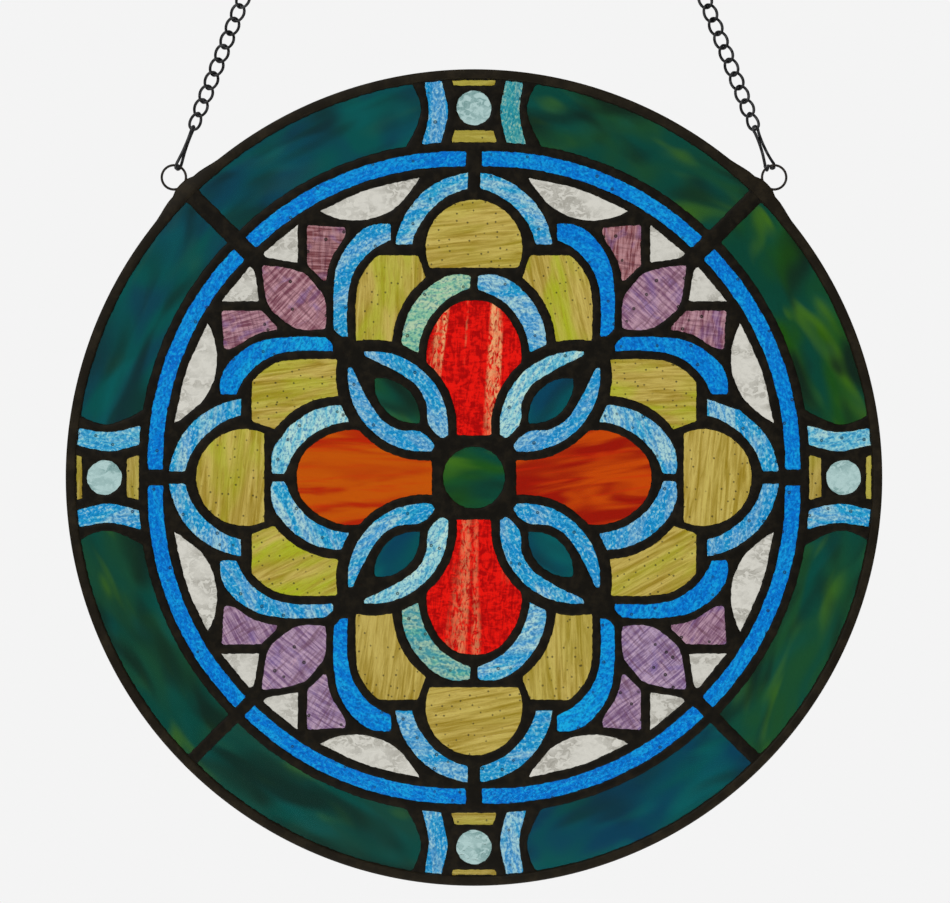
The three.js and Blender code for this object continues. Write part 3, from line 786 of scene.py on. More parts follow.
# %% Sheets with a grain
def grained_sheet(name, light, dark, straw):
    """Amber with a fine wood-like grain along the sheet and many seeds."""
    sheet = Sheet(name)
    grain = sheet.streaks(0.05, 0.0036, 3.0, 1.0)
    ripple = sheet.streaks(0.012, 0.0016, 3.0, 1.2)
    broad = sheet.streaks(0.07, 0.02, 2.0, 0.5)
    amber = sheet.mix(grain.between(0.32, 0.74), light, dark)
    colour = sheet.mix(broad.between(0.4, 0.65) * sheet.tone, amber, straw)
    colour = sheet.mix(ripple.between(0.48, 0.7) * 0.4, colour, dark)
    colour = sheet.seeds(colour, 0.0066, 0.075, 0.9)
    return sheet.finish(colour, grain + 0.4 * ripple, 0.0004, 0.2)


def crossed_sheet(name):
    """Violet and rose, combed one way and rippled the other, so that it looks woven."""
    sheet = Sheet(name)
    combed = sheet.streaks(0.02, 0.0017, 2.0, 0.9)
    crossed = sheet.streaks(0.0024, 0.02, 2.0, 0.8)
    broad = sheet.streaks(0.02, 0.012, 2.0, 0.8)
    rose = sheet.mix(combed.between(0.36, 0.66), through(180, 132, 136), through(116, 60, 64))
    lilac = sheet.mix(combed.between(0.36, 0.66), through(174, 154, 182), through(114, 92, 134))
    colour = sheet.mix(sheet.tone, rose, lilac)
    colour = sheet.mix(broad.between(0.52, 0.68) * 0.4, colour, through(104, 84, 150))
    colour = sheet.mix(crossed.between(0.46, 0.72) * 0.55, colour, through(86, 42, 58))
    colour = sheet.mix(crossed.between(0.28, 0.46) * -0.3 + 0.3, colour, through(190, 156, 164))
    colour = sheet.seeds(colour, 0.012, 0.075, 1.0)
    return sheet.finish(colour, combed + crossed, 0.0004, 0.2)


SHEETS["amber"] = grained_sheet(
    "grained_amber_glass", through(190, 170, 90), through(142, 118, 30), through(160, 170, 30)
)
SHEETS["violet"] = crossed_sheet("crossed_violet_glass")
print("sheets with a grain, and the stirred ones:", *SHEETS)

# %% [markdown]
# ## Blue and clear sheets
# These sheets were rolled on a rough table, so the light breaks up on a close texture: a speckled
# ripple in the blues and hammer marks in the clear. One recipe serves three blues, and one serves
# the clear glass and the mint, because only their colours differ.


# %% Sheets with a rolled surface
def rippled_sheet(name, pale, deep, tint):
    """Blue with a close, speckled ripple, from nearly white to a strong blue."""
    sheet = Sheet(name)
    speckle = sheet.streaks(0.0024, 0.0018, 2.0, 0.7)
    drift = sheet.streaks(0.022, 0.0055, 3.0, 1.4)
    broad = sheet.streaks(0.045, 0.013, 2.0, 0.9)
    strong = sheet.tone.between(0.0, 0.3)
    body = sheet.mix(broad.between(0.42, 0.56) * (0.4 + 0.6 * strong), pale, tint)
    colour = sheet.mix(sheet.tone, body, deep)
    other = sheet.mix(strong, tint, deep)
    colour = sheet.mix(drift.between(0.46, 0.58) * 0.7, colour, other)
    dark = sheet.mix(0.4, deep, (0.0, 0.01, 0.03, 1.0))
    colour = sheet.mix(speckle.between(0.46, 0.68) * 0.75, colour, dark)
    light = sheet.mix(0.65, colour, pale)
    colour = sheet.mix(speckle.between(0.3, 0.5), light, colour)
    colour = sheet.seeds(colour, 0.013, 0.07, 0.8)
    return sheet.finish(colour, speckle, 0.0003, 0.18)


def hammered_sheet(name, light, dark):
    """Clear glass with a close hammered ripple that breaks up the light."""
    sheet = Sheet(name)
    swirl = sheet.streaks(0.0055, 0.004, 2.0, 0.9)
    flow = sheet.streaks(0.02, 0.01, 2.0, 1.0)
    ripple = swirl + 0.35 * flow
    patch = sheet.streaks(0.03, 0.016, 1.0, 0.5).between(0.4, 0.62)
    colour = sheet.mix(ripple.between(0.5, 1.1) * (0.35 + 0.65 * patch), light, dark)
    crest = swirl.between(0.46, 0.54) * (1 - swirl.between(0.54, 0.62))
    colour = sheet.mix(crest * patch * 0.6, colour, dark)
    return sheet.finish(colour, ripple, 0.0005, 0.06)


SHEETS["sky"] = rippled_sheet(
    "rippled_sky_glass", through(178, 214, 204), through(12, 134, 200), through(44, 166, 198)
)
SHEETS["aqua"] = rippled_sheet(
    "rippled_aqua_glass", through(172, 196, 162), through(22, 138, 158), through(110, 180, 146)
)
SHEETS["cobalt"] = rippled_sheet(
    "rippled_cobalt_glass", through(22, 170, 218), through(2, 104, 198), through(2, 138, 210)
)
SHEETS["clear"] = hammered_sheet(
    "hammered_clear_glass", through(204, 202, 193), through(140, 137, 127)
)
SHEETS["mint"] = hammered_sheet(
    "hammered_mint_glass", through(168, 196, 194), through(82, 124, 122)
)
print("sheets of glass:", len(SHEETS))

# %% [markdown]
# ## Cutting the panes
# A maker lays the pattern on each sheet and turns it until the streaks run as wanted. The table
# gives each family its sheet and how its grain runs, which is along a fixed direction, outwards from
# the centre, or round it. Then follow the angle of the grain, the tone and the depth.

# %% Choose a sheet for each family
FAMILIES = {
    "centre": ("clouded", "fixed", 90, 0.8, 0.0),
    "petal": ("red", "outward", 0, 0.05, 0.0),
    "cap": ("amber", "fixed", 0, 0.1, 0.0),
    "leaf": ("clouded", "outward", 0, 0.1, 0.0),
    "violet": ("violet", "outward", 90, 0.5, 0.0),
    "lobe": ("amber", "fixed", 90, 0.7, 0.0),
    "clear": ("clear", "fixed", 0, 0.0, 0.0),
    "circlet": ("cobalt", "around", 0, 0.55, 0.0),
    "border": ("clouded", "around", 0, 0.35, 0.12),
    "leaf_band": ("sky", "outward", 0, 0.3, 0.0),
    "petal_band": ("sky", "around", 0, 0.3, 0.0),
    "cap_band": ("sky", "around", 0, 0.35, 0.0),
    "ogee_band": ("cobalt", "around", 0, 0.5, 0.0),
    "violet_side": ("violet", "outward", 90, 0.35, 0.05),
    "small_clear": ("clear", "fixed", 0, 0.0, 0.06),
    "border_band": ("sky", "outward", 0, 0.4, 0.0),
    "olive_inner": ("amber", "around", 0, 0.3, 0.2),
    "round": ("mint", "fixed", 0, 0.0, 0.0),
    "olive_outer": ("amber", "around", 0, 0.3, 0.18),
}
print("families of panes:", len(FAMILIES))

# %% [markdown]
# ## Panes chosen one by one
# On the real panel no two panes of a family are alike, as the maker cut them from different parts
# of a sheet or from another sheet. These choices were set pane by pane, until each came
# near to the same pane of the real panel.

# %% Choose for single panes
CHOICES = {
    "centre_roundel": {"tone": 1.0, "grain": 0},
    "petal_top": {"grain": 90, "start": (0.1, 0.23), "tone": 1.0},
    "petal_bottom": {"grain": 90, "start": (0.3, 0.45), "tone": 0.45},
    "petal_left": {"sheet": "orange", "tone": 0.8, "grain": 3},
    "petal_right": {"sheet": "orange", "tone": 0.1, "grain": 5},
    "cap_left": {"grain": 84, "tone": 0.7},
    "cap_right": {"grain": 80, "tone": 0.05},
    "cap_top": {"grain": 4},
    "cap_bottom": {"grain": 12},
    "leaf_upper_right": {"tone": -0.85},
    "leaf_upper_left": {"tone": 0.85, "depth": 0.1},
    "leaf_lower_left": {"tone": -0.85},
    "leaf_lower_right": {"tone": -0.6},
    "lobe_1": {"grain": 100, "tone": 0.9},
    "lobe_2": {"grain": 2, "tone": 0.7},
    "lobe_4": {"grain": 24, "tone": 0.4},
    "lobe_5": {"grain": 95, "tone": 0.1, "depth": 0.06},
    "lobe_7": {"grain": 84, "tone": 0.0, "depth": 0.06},
    "lobe_8": {"grain": 30, "tone": 1.0},
    "lobe_10": {"grain": 3, "tone": 0.5},
    "lobe_11": {"grain": 84, "tone": 0.6},
    "violet_upper_left": {"tone": 0.15},
    "violet_upper_right": {"tone": 0.45},
    "violet_lower_left": {"tone": 0.75},
    "violet_lower_right": {"tone": 0.85},
    "violet_side_11": {"grain": 2, "tone": 0.0, "depth": 0.2},
    "violet_side_10": {"grain": 10, "tone": 0.2},
    "violet_side_1": {"grain": 88, "tone": 0.0, "depth": 0.1},
    "violet_side_2": {"grain": 84, "tone": 0.2},
    "violet_side_4": {"tone": 0.5},
    "violet_side_5": {"tone": 0.75},
    "violet_side_7": {"tone": 0.8},
    "violet_side_8": {"tone": 0.7},
    "leaf_band_1": {"tone": 0.0},
    "leaf_band_7": {"tone": 0.0},
    "leaf_band_2": {"tone": 0.6},
    "leaf_band_4": {"tone": 0.6},
    "leaf_band_5": {"tone": 0.45},
    "leaf_band_8": {"tone": 0.3},
    "leaf_band_10": {"tone": 0.65},
    "leaf_band_11": {"tone": 0.5},
    "petal_band_4": {"tone": 0.65},
    "petal_band_11": {"sheet": "aqua", "tone": 0.0},
    "petal_band_7": {"sheet": "aqua", "tone": 0.35},
    "petal_band_10": {"tone": 0.0},
    "cap_band_4": {"tone": 0.65},
    "cap_band_5": {"tone": 0.5},
    "cap_band_7": {"tone": 0.6},
    "cap_band_8": {"tone": 0.45},
    "ogee_band_1": {"tone": 0.7},
    "ogee_band_2": {"tone": 0.6},
    "ogee_band_11": {"sheet": "sky", "tone": 0.55},
    "ogee_band_8": {"sheet": "sky", "tone": 0.5},
    "ogee_band_5": {"tone": 0.2},
    "ogee_band_10": {"tone": 0.25, "depth": 0.05},
    "border_band_1": {"sheet": "aqua", "tone": 0.7},
    "border_band_11": {"tone": 0.65},
    "border_band_7": {"tone": 0.6},
    "border_band_2": {"tone": 0.1},
    "border_band_10": {"tone": 0.2},
    "border_2": {"tone": 1.0, "depth": 0.2},
    "border_1": {"tone": 0.75, "depth": 0.25},
    "border_11": {"tone": 0.1},
    "border_10": {"tone": 0.15},
    "border_8": {"tone": 0.7, "depth": 0.25},
    "border_7": {"tone": 0.55, "depth": 0.22},
    "border_5": {"tone": -0.3},
    "border_4": {"tone": 0.8},
}
NUMBERS = ("sheet", "run", "grain", "tone", "depth")


def family_of(name):
    head = name.rsplit("_", 1)[0]
    return head if head in FAMILIES else name.split("_")[0]


def choice_for(name, chance):
    choice = dict(zip(NUMBERS, FAMILIES[family_of(name)]))
    choice["tone"] = min(1.0, max(0.0, choice["tone"] + chance.uniform(-0.08, 0.08)))
    picked = CHOICES.get(name, {})
    if "grain" in picked:
        choice["run"] = "fixed"
    choice.update(picked)
    return choice


def grain_angle(choice, ring, chance):
    x, y = middle(ring)
    outward_angle = math.degrees(math.atan2(y, x))
    base = {"fixed": 0.0, "outward": outward_angle, "around": outward_angle + 90}[choice["run"]]
    return math.radians(base + choice["grain"] + chance.uniform(-5, 5))


print("panes chosen one by one:", len(CHOICES), "of", len(panes))

# %% [markdown]
# ## Glass in its place
# A pane is a flat plate that reaches a little under the solder on all sides. Its map is laid on both
# faces alike, because light goes through the two of them and a seed must be seen only once. Tone and
# depth are kept as numbers on its points, where the sheet's material reads them.

# %% Cut the panes and lay the sheet's map on them
TUCK = 0.5


def cut_pane(name, ring, chance):
    choice = choice_for(name, chance)
    grown = ring + outward(ring) * TUCK
    count = len(grown)
    front = [stand(x, y, GLASS_FACE) for x, y in grown]
    back = [stand(x, y, -GLASS_FACE) for x, y in grown]
    faces = [tuple(range(count)), tuple(reversed(range(count, 2 * count)))]
    faces += [((i + 1) % count, i, i + count, (i + 1) % count + count) for i in range(count)]
    nodes = [name] if name in frame["nodes"] else ["leadwork"]
    slot = next(s["material_slot"] for s in frame["record"]["subparts"] if s["node"] == nodes[0])
    piece = new_piece(name + "_glass", front + back, faces, SHEETS[choice["sheet"]], nodes, False)
    mesh = piece.data
    turn = grain_angle(choice, ring, chance)
    start = chance.uniform(0, 0.6), chance.uniform(0, 0.6)
    start_x, start_y = choice.get("start", start)
    sheet_map = mesh.uv_layers.new(name="sheet")
    for loop in mesh.loops:
        point = mesh.vertices[loop.vertex_index].co
        x, y = point.x, point.z
        along = x * math.cos(turn) + y * math.sin(turn)
        across = y * math.cos(turn) - x * math.sin(turn)
        sheet_map.data[loop.index].uv = (along + start_x, across + start_y)
    for number in ("tone", "depth"):
        values = mesh.attributes.new(number, "FLOAT", "POINT")
        values.data.foreach_set("value", [choice[number]] * len(mesh.vertices))
    return piece


chance = random.Random(23)
glass = [cut_pane(name, ring, chance) for name, ring in panes.items()]
print("panes cut:", len(glass))

# %% [markdown]
# ## Trees that make what repeats
# The rim is one section carried round a circle, and a chain is one link set down again and again:
# both follow a rule, so each is a Geometry Nodes tree with its sizes as named inputs. The tree is
# put on a bare mesh, evaluated, and kept as a plain mesh, so nothing stays live in the scene.


# %% Make a plain mesh from a tree
def new_tree(name, sizes):
    """A Geometry Nodes tree with the given inputs, as a graph and its input sockets by name."""
    tree = bpy.data.node_groups.new(name, "GeometryNodeTree")
    tree.interface.new_socket("Geometry", in_out="OUTPUT", socket_type="NodeSocketGeometry")
    for size in sizes:
        kind = "NodeSocketMaterial" if size == "Material" else "NodeSocketFloat"
        kind = "NodeSocketInt" if size == "Links" else kind
        tree.interface.new_socket(size, in_out="INPUT", socket_type=kind)
    graph = Graph(tree)
    entry = tree.nodes.new("NodeGroupInput")
    return graph, {size: Sock(graph, entry.outputs[size]) for size in sizes}


def finish_tree(graph, shape, material):
    real = graph.add("GeometryNodeRealizeInstances", {}, shape)
    dressed = graph.add("GeometryNodeSetMaterial", {}, Geometry=real, Material=material)
    leave = graph.tree.nodes.new("NodeGroupOutput")
    graph.feed(leave.inputs["Geometry"], dressed)


def evaluated_mesh(name, tree, sizes):
    carrier = bpy.data.objects.new(name + "_carrier", bpy.data.meshes.new(name + "_carrier"))
    bpy.context.scene.collection.objects.link(carrier)
    modifier = carrier.modifiers.new("tree", "NODES")
    modifier.node_group = tree
    for item in tree.interface.items_tree:
        if item.in_out == "INPUT":
            modifier[item.identifier] = sizes[item.name]
    carrier.data.update()
    seen = carrier.evaluated_get(bpy.context.evaluated_depsgraph_get())
    mesh = bpy.data.meshes.new_from_object(seen)
    mesh.name = name
    bpy.data.objects.remove(carrier)
    return mesh


def vector(graph, x, y, z):
    return graph.add("ShaderNodeCombineXYZ", {}, x, y, z)


def moved_to(graph, shape, place):
    return graph.add("GeometryNodeSetPosition", {}, Geometry=shape, Position=place)


def carried(graph, path, section):
    return graph.add("GeometryNodeCurveToMesh", {}, path, section)


print("trees made so far:", len(bpy.data.node_groups))

# %% [markdown]
# ## The rim
# The real rim is a U-shaped zinc or lead channel bent round the edge of the panel. Only its two
# faces and its outer flank show, with softly rounded edges, so a rounded section is carried round a
# circle. At two places near the top solder is heaped up to hold the hanging rings, and there the
# tree lifts the outer side, most in the middle of the heap, and thins it.

# %% Carry the section round the panel
RIM_SIZES = ["Radius", "Face", "Thickness", "Rounding", "Heap", "Tab", "Heap angle", "Seat", "Material"]
SEAT_ANGLE = math.radians(45)
RIM_STEPS = 360
RIM_LAP = 0.2


def rim_tree():
    graph, size = new_tree("rim_channel_section", RIM_SIZES)
    middle_radius = size["Radius"] - size["Face"] / 2
    path = graph.add(
        "GeometryNodeCurvePrimitiveCircle", {}, Resolution=RIM_STEPS, Radius=middle_radius
    )
    box = graph.add(
        "GeometryNodeCurvePrimitiveQuadrilateral", {}, Width=size["Face"], Height=size["Thickness"]
    )
    section = graph.add(
        "GeometryNodeFilletCurve", {"mode": "POLY"}, Curve=box, Count=4, Radius=size["Rounding"]
    )
    bar = carried(graph, path, section)
    place = graph.add("GeometryNodeInputPosition")
    x, y, z = parts_of(graph, place)
    angle = graph.do("ARCTAN2", y, graph.do("ABSOLUTE", x))
    away = graph.do("ABSOLUTE", angle - size["Seat"]) / size["Heap angle"]
    tab = (1 - away.between(0.12, 0.3)) * size["Tab"] / size["Heap"]
    rise = 1 - away.between(0.35, 1.0) + tab
    outer = (graph.do("SQRT", x * x + y * y) - size["Radius"] + size["Face"]) / size["Face"]
    lift = 1 + size["Heap"] / size["Radius"] * rise * outer
    thin = 1 - 0.4 * outer * (1 - away.between(0.1, 1.0))
    shaped = moved_to(graph, bar, vector(graph, x * lift, y * lift, z * thin))
    turned = graph.add(
        "GeometryNodeTransform", {}, Geometry=shaped, Translation=stand(0, 0), Rotation=(math.pi / 2, 0, 0)
    )
    finish_tree(graph, turned, size["Material"])
    return graph.tree


rim_mesh = evaluated_mesh(
    "rim",
    rim_tree(),
    {
        "Radius": PANEL_RADIUS * MM,
        "Face": (PANEL_RADIUS - SIGHT_RADIUS + RIM_LAP) * MM,
        "Thickness": 2 * RIM_FACE * MM,
        "Rounding": 1.6 * MM,
        "Heap": 2.5 * MM,
        "Tab": 2.2 * MM,
        "Heap angle": math.radians(6.5),
        "Seat": SEAT_ANGLE,
        "Material": CHANNEL,
    },
)
place_mesh("rim", rim_mesh, ["rim_channel"])
print("rim:", len(rim_mesh.polygons), "faces")

# %% [markdown]
# ## The chains
# Each chain is made of short links of round wire, bent to an oval and twisted, so that they lie
# flat together and all show their openings to the front. The lowest link is pear-shaped, narrower at
# its upper end. The tree bends a circle of wire to that shape, sets it down along the chain's line,
# then stands the whole chain up from its ring.

# %% Set the links along the chain
CHAIN_SIZES = ["Length", "Width", "Wire", "Twist", "Links", "Pitch", "Start", "Lean", "Material"]
LINK = {"Length": 14.0 * MM, "Width": 10.6 * MM, "Wire": 2.0 * MM, "Twist": math.radians(45), "Links": 10}
PINCH = 0.35
LINK_PITCH = 9.955 * MM
CHAIN_START = 34.1 * MM


def link_shape(graph, size, pinch):
    """One link, standing along y, narrower towards its head by the given pinch."""
    radius = (size["Width"] - size["Wire"]) / 2
    loop = graph.add("GeometryNodeCurvePrimitiveCircle", {}, Resolution=28, Radius=radius)
    x, y, z = parts_of(graph, graph.add("GeometryNodeInputPosition"))
    share = y / radius
    pulled = graph.do("MAXIMUM", graph.do("MINIMUM", share * 1.7, 1.0), -1.0)
    wide = 1 - pinch * (share + 1) / 2
    turn = size["Twist"] * share
    tall = y + pulled * (size["Length"] - size["Width"]) / 2
    bent = vector(graph, x * wide * graph.do("COSINE", turn), tall, -x * wide * graph.do("SINE", turn))
    loop = moved_to(graph, loop, bent)
    wire = graph.add("GeometryNodeCurvePrimitiveCircle", {}, Resolution=10, Radius=size["Wire"] / 2)
    return carried(graph, loop, wire)


def chain_tree():
    graph, size = new_tree("chain_of_links", CHAIN_SIZES)
    first = size["Start"] + size["Length"] / 2
    pinched = link_shape(graph, size, PINCH)
    lowest = graph.add(
        "GeometryNodeTransform", {}, Geometry=pinched, Translation=vector(graph, 0, first, 0)
    )
    second = vector(graph, 0, first + size["Pitch"], 0)
    step = vector(graph, 0, size["Pitch"], 0)
    places = graph.add(
        "GeometryNodeMeshLine", {}, Count=size["Links"], Start_Location=second, Offset=step
    )
    plain = link_shape(graph, size, 0.0)
    others = graph.add("GeometryNodeInstanceOnPoints", {}, Points=places, Instance=plain)
    join = graph.tree.nodes.new("GeometryNodeJoinGeometry")
    for shape in (lowest, others):
        graph.tree.links.new(shape.socket, join.inputs[0])
    chain = Sock(graph, join.outputs[0])
    leant = graph.add("GeometryNodeTransform", {}, Geometry=chain, Rotation=vector(graph, 0, 0, size["Lean"]))
    stood = graph.add("GeometryNodeTransform", {}, Geometry=leant, Rotation=(math.pi / 2, 0, 0))
    finish_tree(graph, stood, size["Material"])
    return graph.tree


def node_centre(name):
    low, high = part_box(name)
    return 0.5 * (low + high)


CHAIN_TREE = chain_tree()
LEANS = {}
for side in ("left", "right"):
    up = node_centre(f"top_ring_{side}") - node_centre(f"ring_{side}")
    LEANS[side] = math.atan2(-up.x, up.z)
    sizes = dict(LINK, Pitch=LINK_PITCH, Start=CHAIN_START, Lean=LEANS[side], Material=WIRE)
    mesh = evaluated_mesh(f"chain_links_{side}", CHAIN_TREE, sizes)
    mesh.transform(Matrix.Translation(node_centre(f"ring_{side}")))
    place_mesh(f"chain_links_{side}", mesh, [f"chain_{side}"])
    print(side, "chain leans", round(math.degrees(LEANS[side]), 1), "degrees,", len(mesh.polygons), "faces")

# %% [markdown]
# ## Round wire along a line
# Rings and hooks are both bent from round wire, so one function makes a tube round any line. Each
# ring of points is turned on from the one before by as little as it can, or the tube would twist
# where the line bends, and on a closed line the small turn left over is shared out.


# %% Draw a round wire along a line
WIRE_SIDES = 10


def wire_mesh(name, line, thickness, closed):
    """A tube round a line of points, with a frame that turns as little as it can."""
    points = [Vector(p) for p in line]
    count = len(points)
    tangents = []
    for i in range(count):
        before = points[i - 1] if i or closed else points[i]
        after = points[(i + 1) % count] if i + 1 < count or closed else points[i]
        tangents.append((after - before).normalized())
    side = tangents[0].orthogonal().normalized()
    frames = []
    for i, along in enumerate(tangents):
        if i:
            side = tangents[i - 1].rotation_difference(along) @ side
        frames.append(side.copy())
    drift = 0.0
    if closed:
        last = tangents[-1].rotation_difference(tangents[0]) @ side
        drift = math.atan2(tangents[0].dot(frames[0].cross(last)), frames[0].dot(last))
    rings = []
    for i, (point, along, side) in enumerate(zip(points, tangents, frames)):
        other = along.cross(side)
        turn = -drift * i / count
        for k in range(WIRE_SIDES):
            a = 2 * math.pi * k / WIRE_SIDES + turn
            rings.append(point + thickness / 2 * (math.cos(a) * side + math.sin(a) * other))
    faces = []
    for i in range(count if closed else count - 1):
        for k in range(WIRE_SIDES):
            a, b = i * WIRE_SIDES + k, i * WIRE_SIDES + (k + 1) % WIRE_SIDES
            j = (i + 1) % count * WIRE_SIDES - i * WIRE_SIDES
            faces.append((a, b, b + j, a + j))
    if not closed:
        faces.append(tuple(reversed(range(WIRE_SIDES))))
        faces.append(tuple(range((count - 1) * WIRE_SIDES, count * WIRE_SIDES)))
    mesh = bpy.data.meshes.new(name)
    mesh.from_pydata([tuple(p) for p in rings], [], faces)
    mesh.validate()
    return mesh


def curve_through(points, steps=8):
    """A smooth line through a few drawn points."""
    ends = [points[0]] + points + [points[-1]]
    line = []
    for a, b, c, d in zip(ends, ends[1:], ends[2:], ends[3:]):
        for t in np.arange(0, 1, 1 / steps):
            bend = (2 * a - 5 * b + 4 * c - d) * t**2 + (3 * b - a - 3 * c + d) * t**3
            line.append(0.5 * (2 * b + (c - a) * t + bend))
    return line + [points[-1]]


print("sides round a wire:", WIRE_SIDES)

# %% [markdown]
# ## Rings and hooks
# The rings are plain wire, bent round and soldered shut. Each hook is one wire folded in two: the
# fold goes through the lowest link, and the two ends spread and curl through the ring below, the
# longer one round behind it. The hook is drawn as a few points, and where it comes too close to its
# ring it is moved out until the two wires just touch.


# %% Bend the rings and hooks
def ring_line(radius, turns=48):
    angles = np.linspace(0, 2 * math.pi, turns, endpoint=False)
    return [Vector((radius * math.cos(a), radius * math.sin(a), 0)) for a in angles]


def hung(points, side, turn=0.0):
    """Points drawn with y along the chain, turned about it, leant with the chain and stood up."""
    pose = Matrix.Translation(node_centre(f"ring_{side}"))
    pose = pose @ Euler((math.pi / 2, 0, 0)).to_matrix().to_4x4()
    pose = pose @ Matrix.Rotation(LEANS[side], 4, "Z") @ Matrix.Rotation(math.radians(turn), 4, "Y")
    return [pose @ point for point in points]


def laid_against(points, ring, gap):
    """The same points, each moved out to this gap where it comes too close to the ring's line."""
    clear = []
    for point in points:
        near = min(ring, key=lambda spot: (spot - point).length)
        away = point - near
        clear.append(near + away.normalized() * max(gap, away.length))
    return clear


def dress_wire(name, line, thickness, closed, node, material):
    mesh = wire_mesh(name, line, thickness, closed)
    mesh.materials.append(material)
    return place_mesh(name, mesh, [node])


RING_WIRE = 1.7 * MM
RING_RADIUS = 8.3 * MM
TOP_RING_WIRE = 1.8 * MM
TOP_RING_RADIUS = 8.1 * MM
TOP_RING_PLACE = 152.45 * MM
TOP_RING_TURN = math.radians(-45)
HOOK_WIRE = 2.1 * MM
HOOK_TURNS = {"left": 75, "right": 24}

# The folded wire, drawn in millimetres from the centre of its ring, with y along the chain
HOOK_DRAWING = [
    (-1.2, 8.9, 0.6), (-2.4, 7.4, 0.6), (-3.3, 6.3, 0.0), (-3.0, 9.0, -0.6), (-2.3, 13.0, -0.5),
    (-1.5, 19.0, -0.2), (-1.15, 26.0, 0.0), (-1.3, 32.0, 0.0), (-1.7, 35.0, 0.0), (-1.2, 36.9, 0.0),
    (0.0, 37.35, 0.0), (1.2, 36.9, 0.0), (1.7, 35.0, 0.0), (1.3, 32.0, 0.0), (1.15, 26.0, 0.0),
    (1.5, 19.0, 0.2), (2.2, 13.0, 0.6), (2.9, 9.5, 0.7), (2.7, 6.8, 0.4), (1.5, 6.1, -0.4),
    (0.5, 7.3, -0.9),
]
wires = []
for side in ("left", "right"):
    ring = hung(ring_line(RING_RADIUS), side)
    name, node = f"soldered_ring_{side}", f"ring_{side}"
    wires.append(dress_wire(name, ring, RING_WIRE, True, node, SOLDERED_RING))
    turned = Matrix.Rotation(TOP_RING_TURN, 4, "Y")
    end_ring = [turned @ point + Vector((0, TOP_RING_PLACE, 0)) for point in ring_line(TOP_RING_RADIUS)]
    name, node = f"end_ring_{side}", f"top_ring_{side}"
    wires.append(dress_wire(name, hung(end_ring, side), TOP_RING_WIRE, True, node, WIRE))
    drawing = [Vector(point) * MM for point in HOOK_DRAWING]
    fold = hung(curve_through(drawing), side, HOOK_TURNS[side])
    fold = laid_against(fold, hung(ring_line(RING_RADIUS, 360), side), (HOOK_WIRE + RING_WIRE) / 2)
    name, node = f"wire_hook_{side}", f"hook_{side}"
    wires.append(dress_wire(name, fold, HOOK_WIRE, False, node, WIRE))
print("rings and hooks:", len(wires))

# %% [markdown]
# ## Floor and light
# The panel hangs in front of a pale, evenly lit studio. Glass is judged by what shines through it,
# so the world is pale to the eye and to light that has come through glass, and dark in mirror
# images, as a studio is on the camera's side, which keeps the leads black and the colours deep. A
# small floor lies below the picture, and one large soft lamp from the upper left gives the rim and
# the solder their shine.

# %% Studio
MIRRORED_LIGHT = 0.08
SCATTERED_LIGHT = 0.67
FLOOR_RADIUS = 0.5
FLOOR_DROP = 0.36
LAMP_PLACE = (-1.1, -1.6, 0.9)
LAMP_SIZE = 1.4
LAMP_POWER = 9.0


def studio():
    world = bpy.data.worlds.new("pale_studio")
    bpy.context.scene.world = world
    world.use_nodes = True
    graph = Graph(world.node_tree)
    background = world.node_tree.nodes["Background"]
    background.inputs["Color"].default_value = (LIGHT_BEHIND, LIGHT_BEHIND, LIGHT_BEHIND, 1.0)
    path = world.node_tree.nodes.new("ShaderNodeLightPath")
    seen = Sock(graph, path.outputs["Is Camera Ray"])
    passed = Sock(graph, path.outputs["Is Transmission Ray"])
    scattered = Sock(graph, path.outputs["Is Diffuse Ray"])
    straight = graph.do("MAXIMUM", seen, passed)
    indirect = MIRRORED_LIGHT + SCATTERED_LIGHT * scattered
    graph.feed(background.inputs["Strength"], graph.do("MAXIMUM", straight, indirect))


def soft_lamp(name, place, size, power):
    lamp = bpy.data.lights.new(name, "AREA")
    lamp.size = size
    lamp.energy = power
    holder = bpy.data.objects.new(name, lamp)
    holder.location = place
    holder.rotation_euler = (stand(0, 0) - Vector(place)).to_track_quat("-Z", "Y").to_euler()
    bpy.context.scene.collection.objects.link(holder)
    return holder


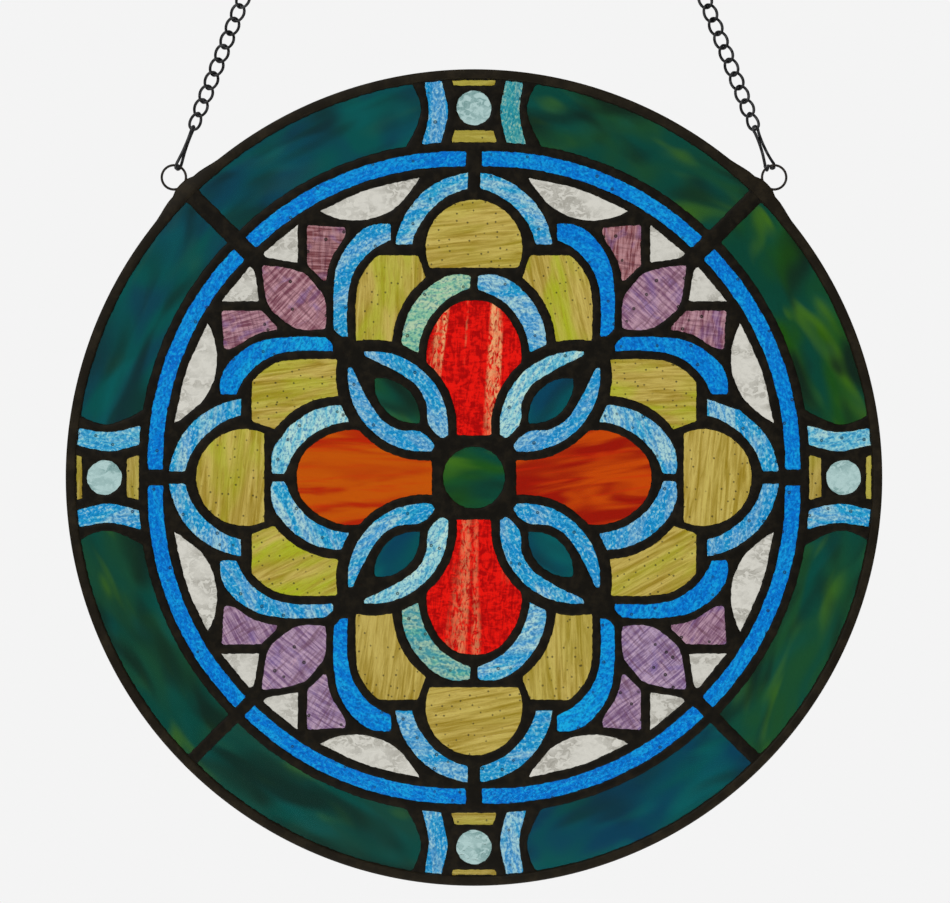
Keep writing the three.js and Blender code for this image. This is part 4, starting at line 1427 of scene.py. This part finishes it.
def pale_floor():
    height = CENTRE_Z * MM - FLOOR_DROP
    angles = np.linspace(0, 2 * math.pi, 96, endpoint=False)
    edge = [(FLOOR_RADIUS * math.cos(a), FLOOR_RADIUS * math.sin(a), height) for a in angles]
    mesh = bpy.data.meshes.new("floor")
    mesh.from_pydata(edge, [], [tuple(range(len(edge)))])
    material, graph, shader = new_material("pale_floor")
    place = graph.add("ShaderNodeTexCoord", {}, output=3)
    grain = noise(graph, place, 8.0)
    tone = blend(graph, grain, linear(232, 232, 230), linear(240, 240, 238))
    graph.feed(shader.inputs["Base Color"], tone)
    shader.inputs["Roughness"].default_value = 0.7
    mesh.materials.append(material)
    floor = bpy.data.objects.new("floor", mesh)
    bpy.context.scene.collection.objects.link(floor)
    return floor


studio()
lamp = soft_lamp("window_light", LAMP_PLACE, LAMP_SIZE, LAMP_POWER)
floor = pale_floor()
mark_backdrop(floor, lamp)
bpy.context.scene.view_settings.view_transform = "Standard"
print("floor", round(floor.data.vertices[0].co.z, 3), "m, lamp", lamp.data.energy, "W")

# %% [markdown]
# ## The camera
# The photograph looks straight at the panel from far off. The panel's centre and radius, read in
# the photograph's pixels, give the size of a pixel on the panel, and with it the lens and how far
# the camera stands beside and above the centre.

# %% Camera
PHOTO_WIDTH = 950
PHOTO_HEIGHT = 903
PANEL_CENTRE_PIXEL = (474.0, 477.5)
PANEL_RADIUS_PIXELS = 408.1
CAMERA_DISTANCE = 3.2

pixel = PANEL_RADIUS * MM / PANEL_RADIUS_PIXELS
eye = bpy.data.cameras.new("front_view")
eye.sensor_fit = "HORIZONTAL"
eye.sensor_width = 36.0
eye.lens = eye.sensor_width * CAMERA_DISTANCE / (PHOTO_WIDTH * pixel)
camera = bpy.data.objects.new("front_view", eye)
camera.location = stand(0, 0) + Vector((
    (PHOTO_WIDTH / 2 - PANEL_CENTRE_PIXEL[0]) * pixel,
    -CAMERA_DISTANCE,
    (PANEL_CENTRE_PIXEL[1] - PHOTO_HEIGHT / 2) * pixel,
))
camera.rotation_euler = (math.pi / 2, 0, 0)
bpy.context.scene.collection.objects.link(camera)
bpy.context.scene.camera = camera
print("camera lens", round(eye.lens, 1), "mm")

# %% [markdown]
# ## The size at the end
# The dressed panel must not have grown past the solid one by more than a hair. Both sizes are
# printed side by side, in metres, so that they can be compared.

# %% Measure the size at the end
bpy.context.view_layer.update()
size_at_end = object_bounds()
sizes = {"start": [list(corner) for corner in size_at_start], "end": [list(corner) for corner in size_at_end]}
print(sizes)
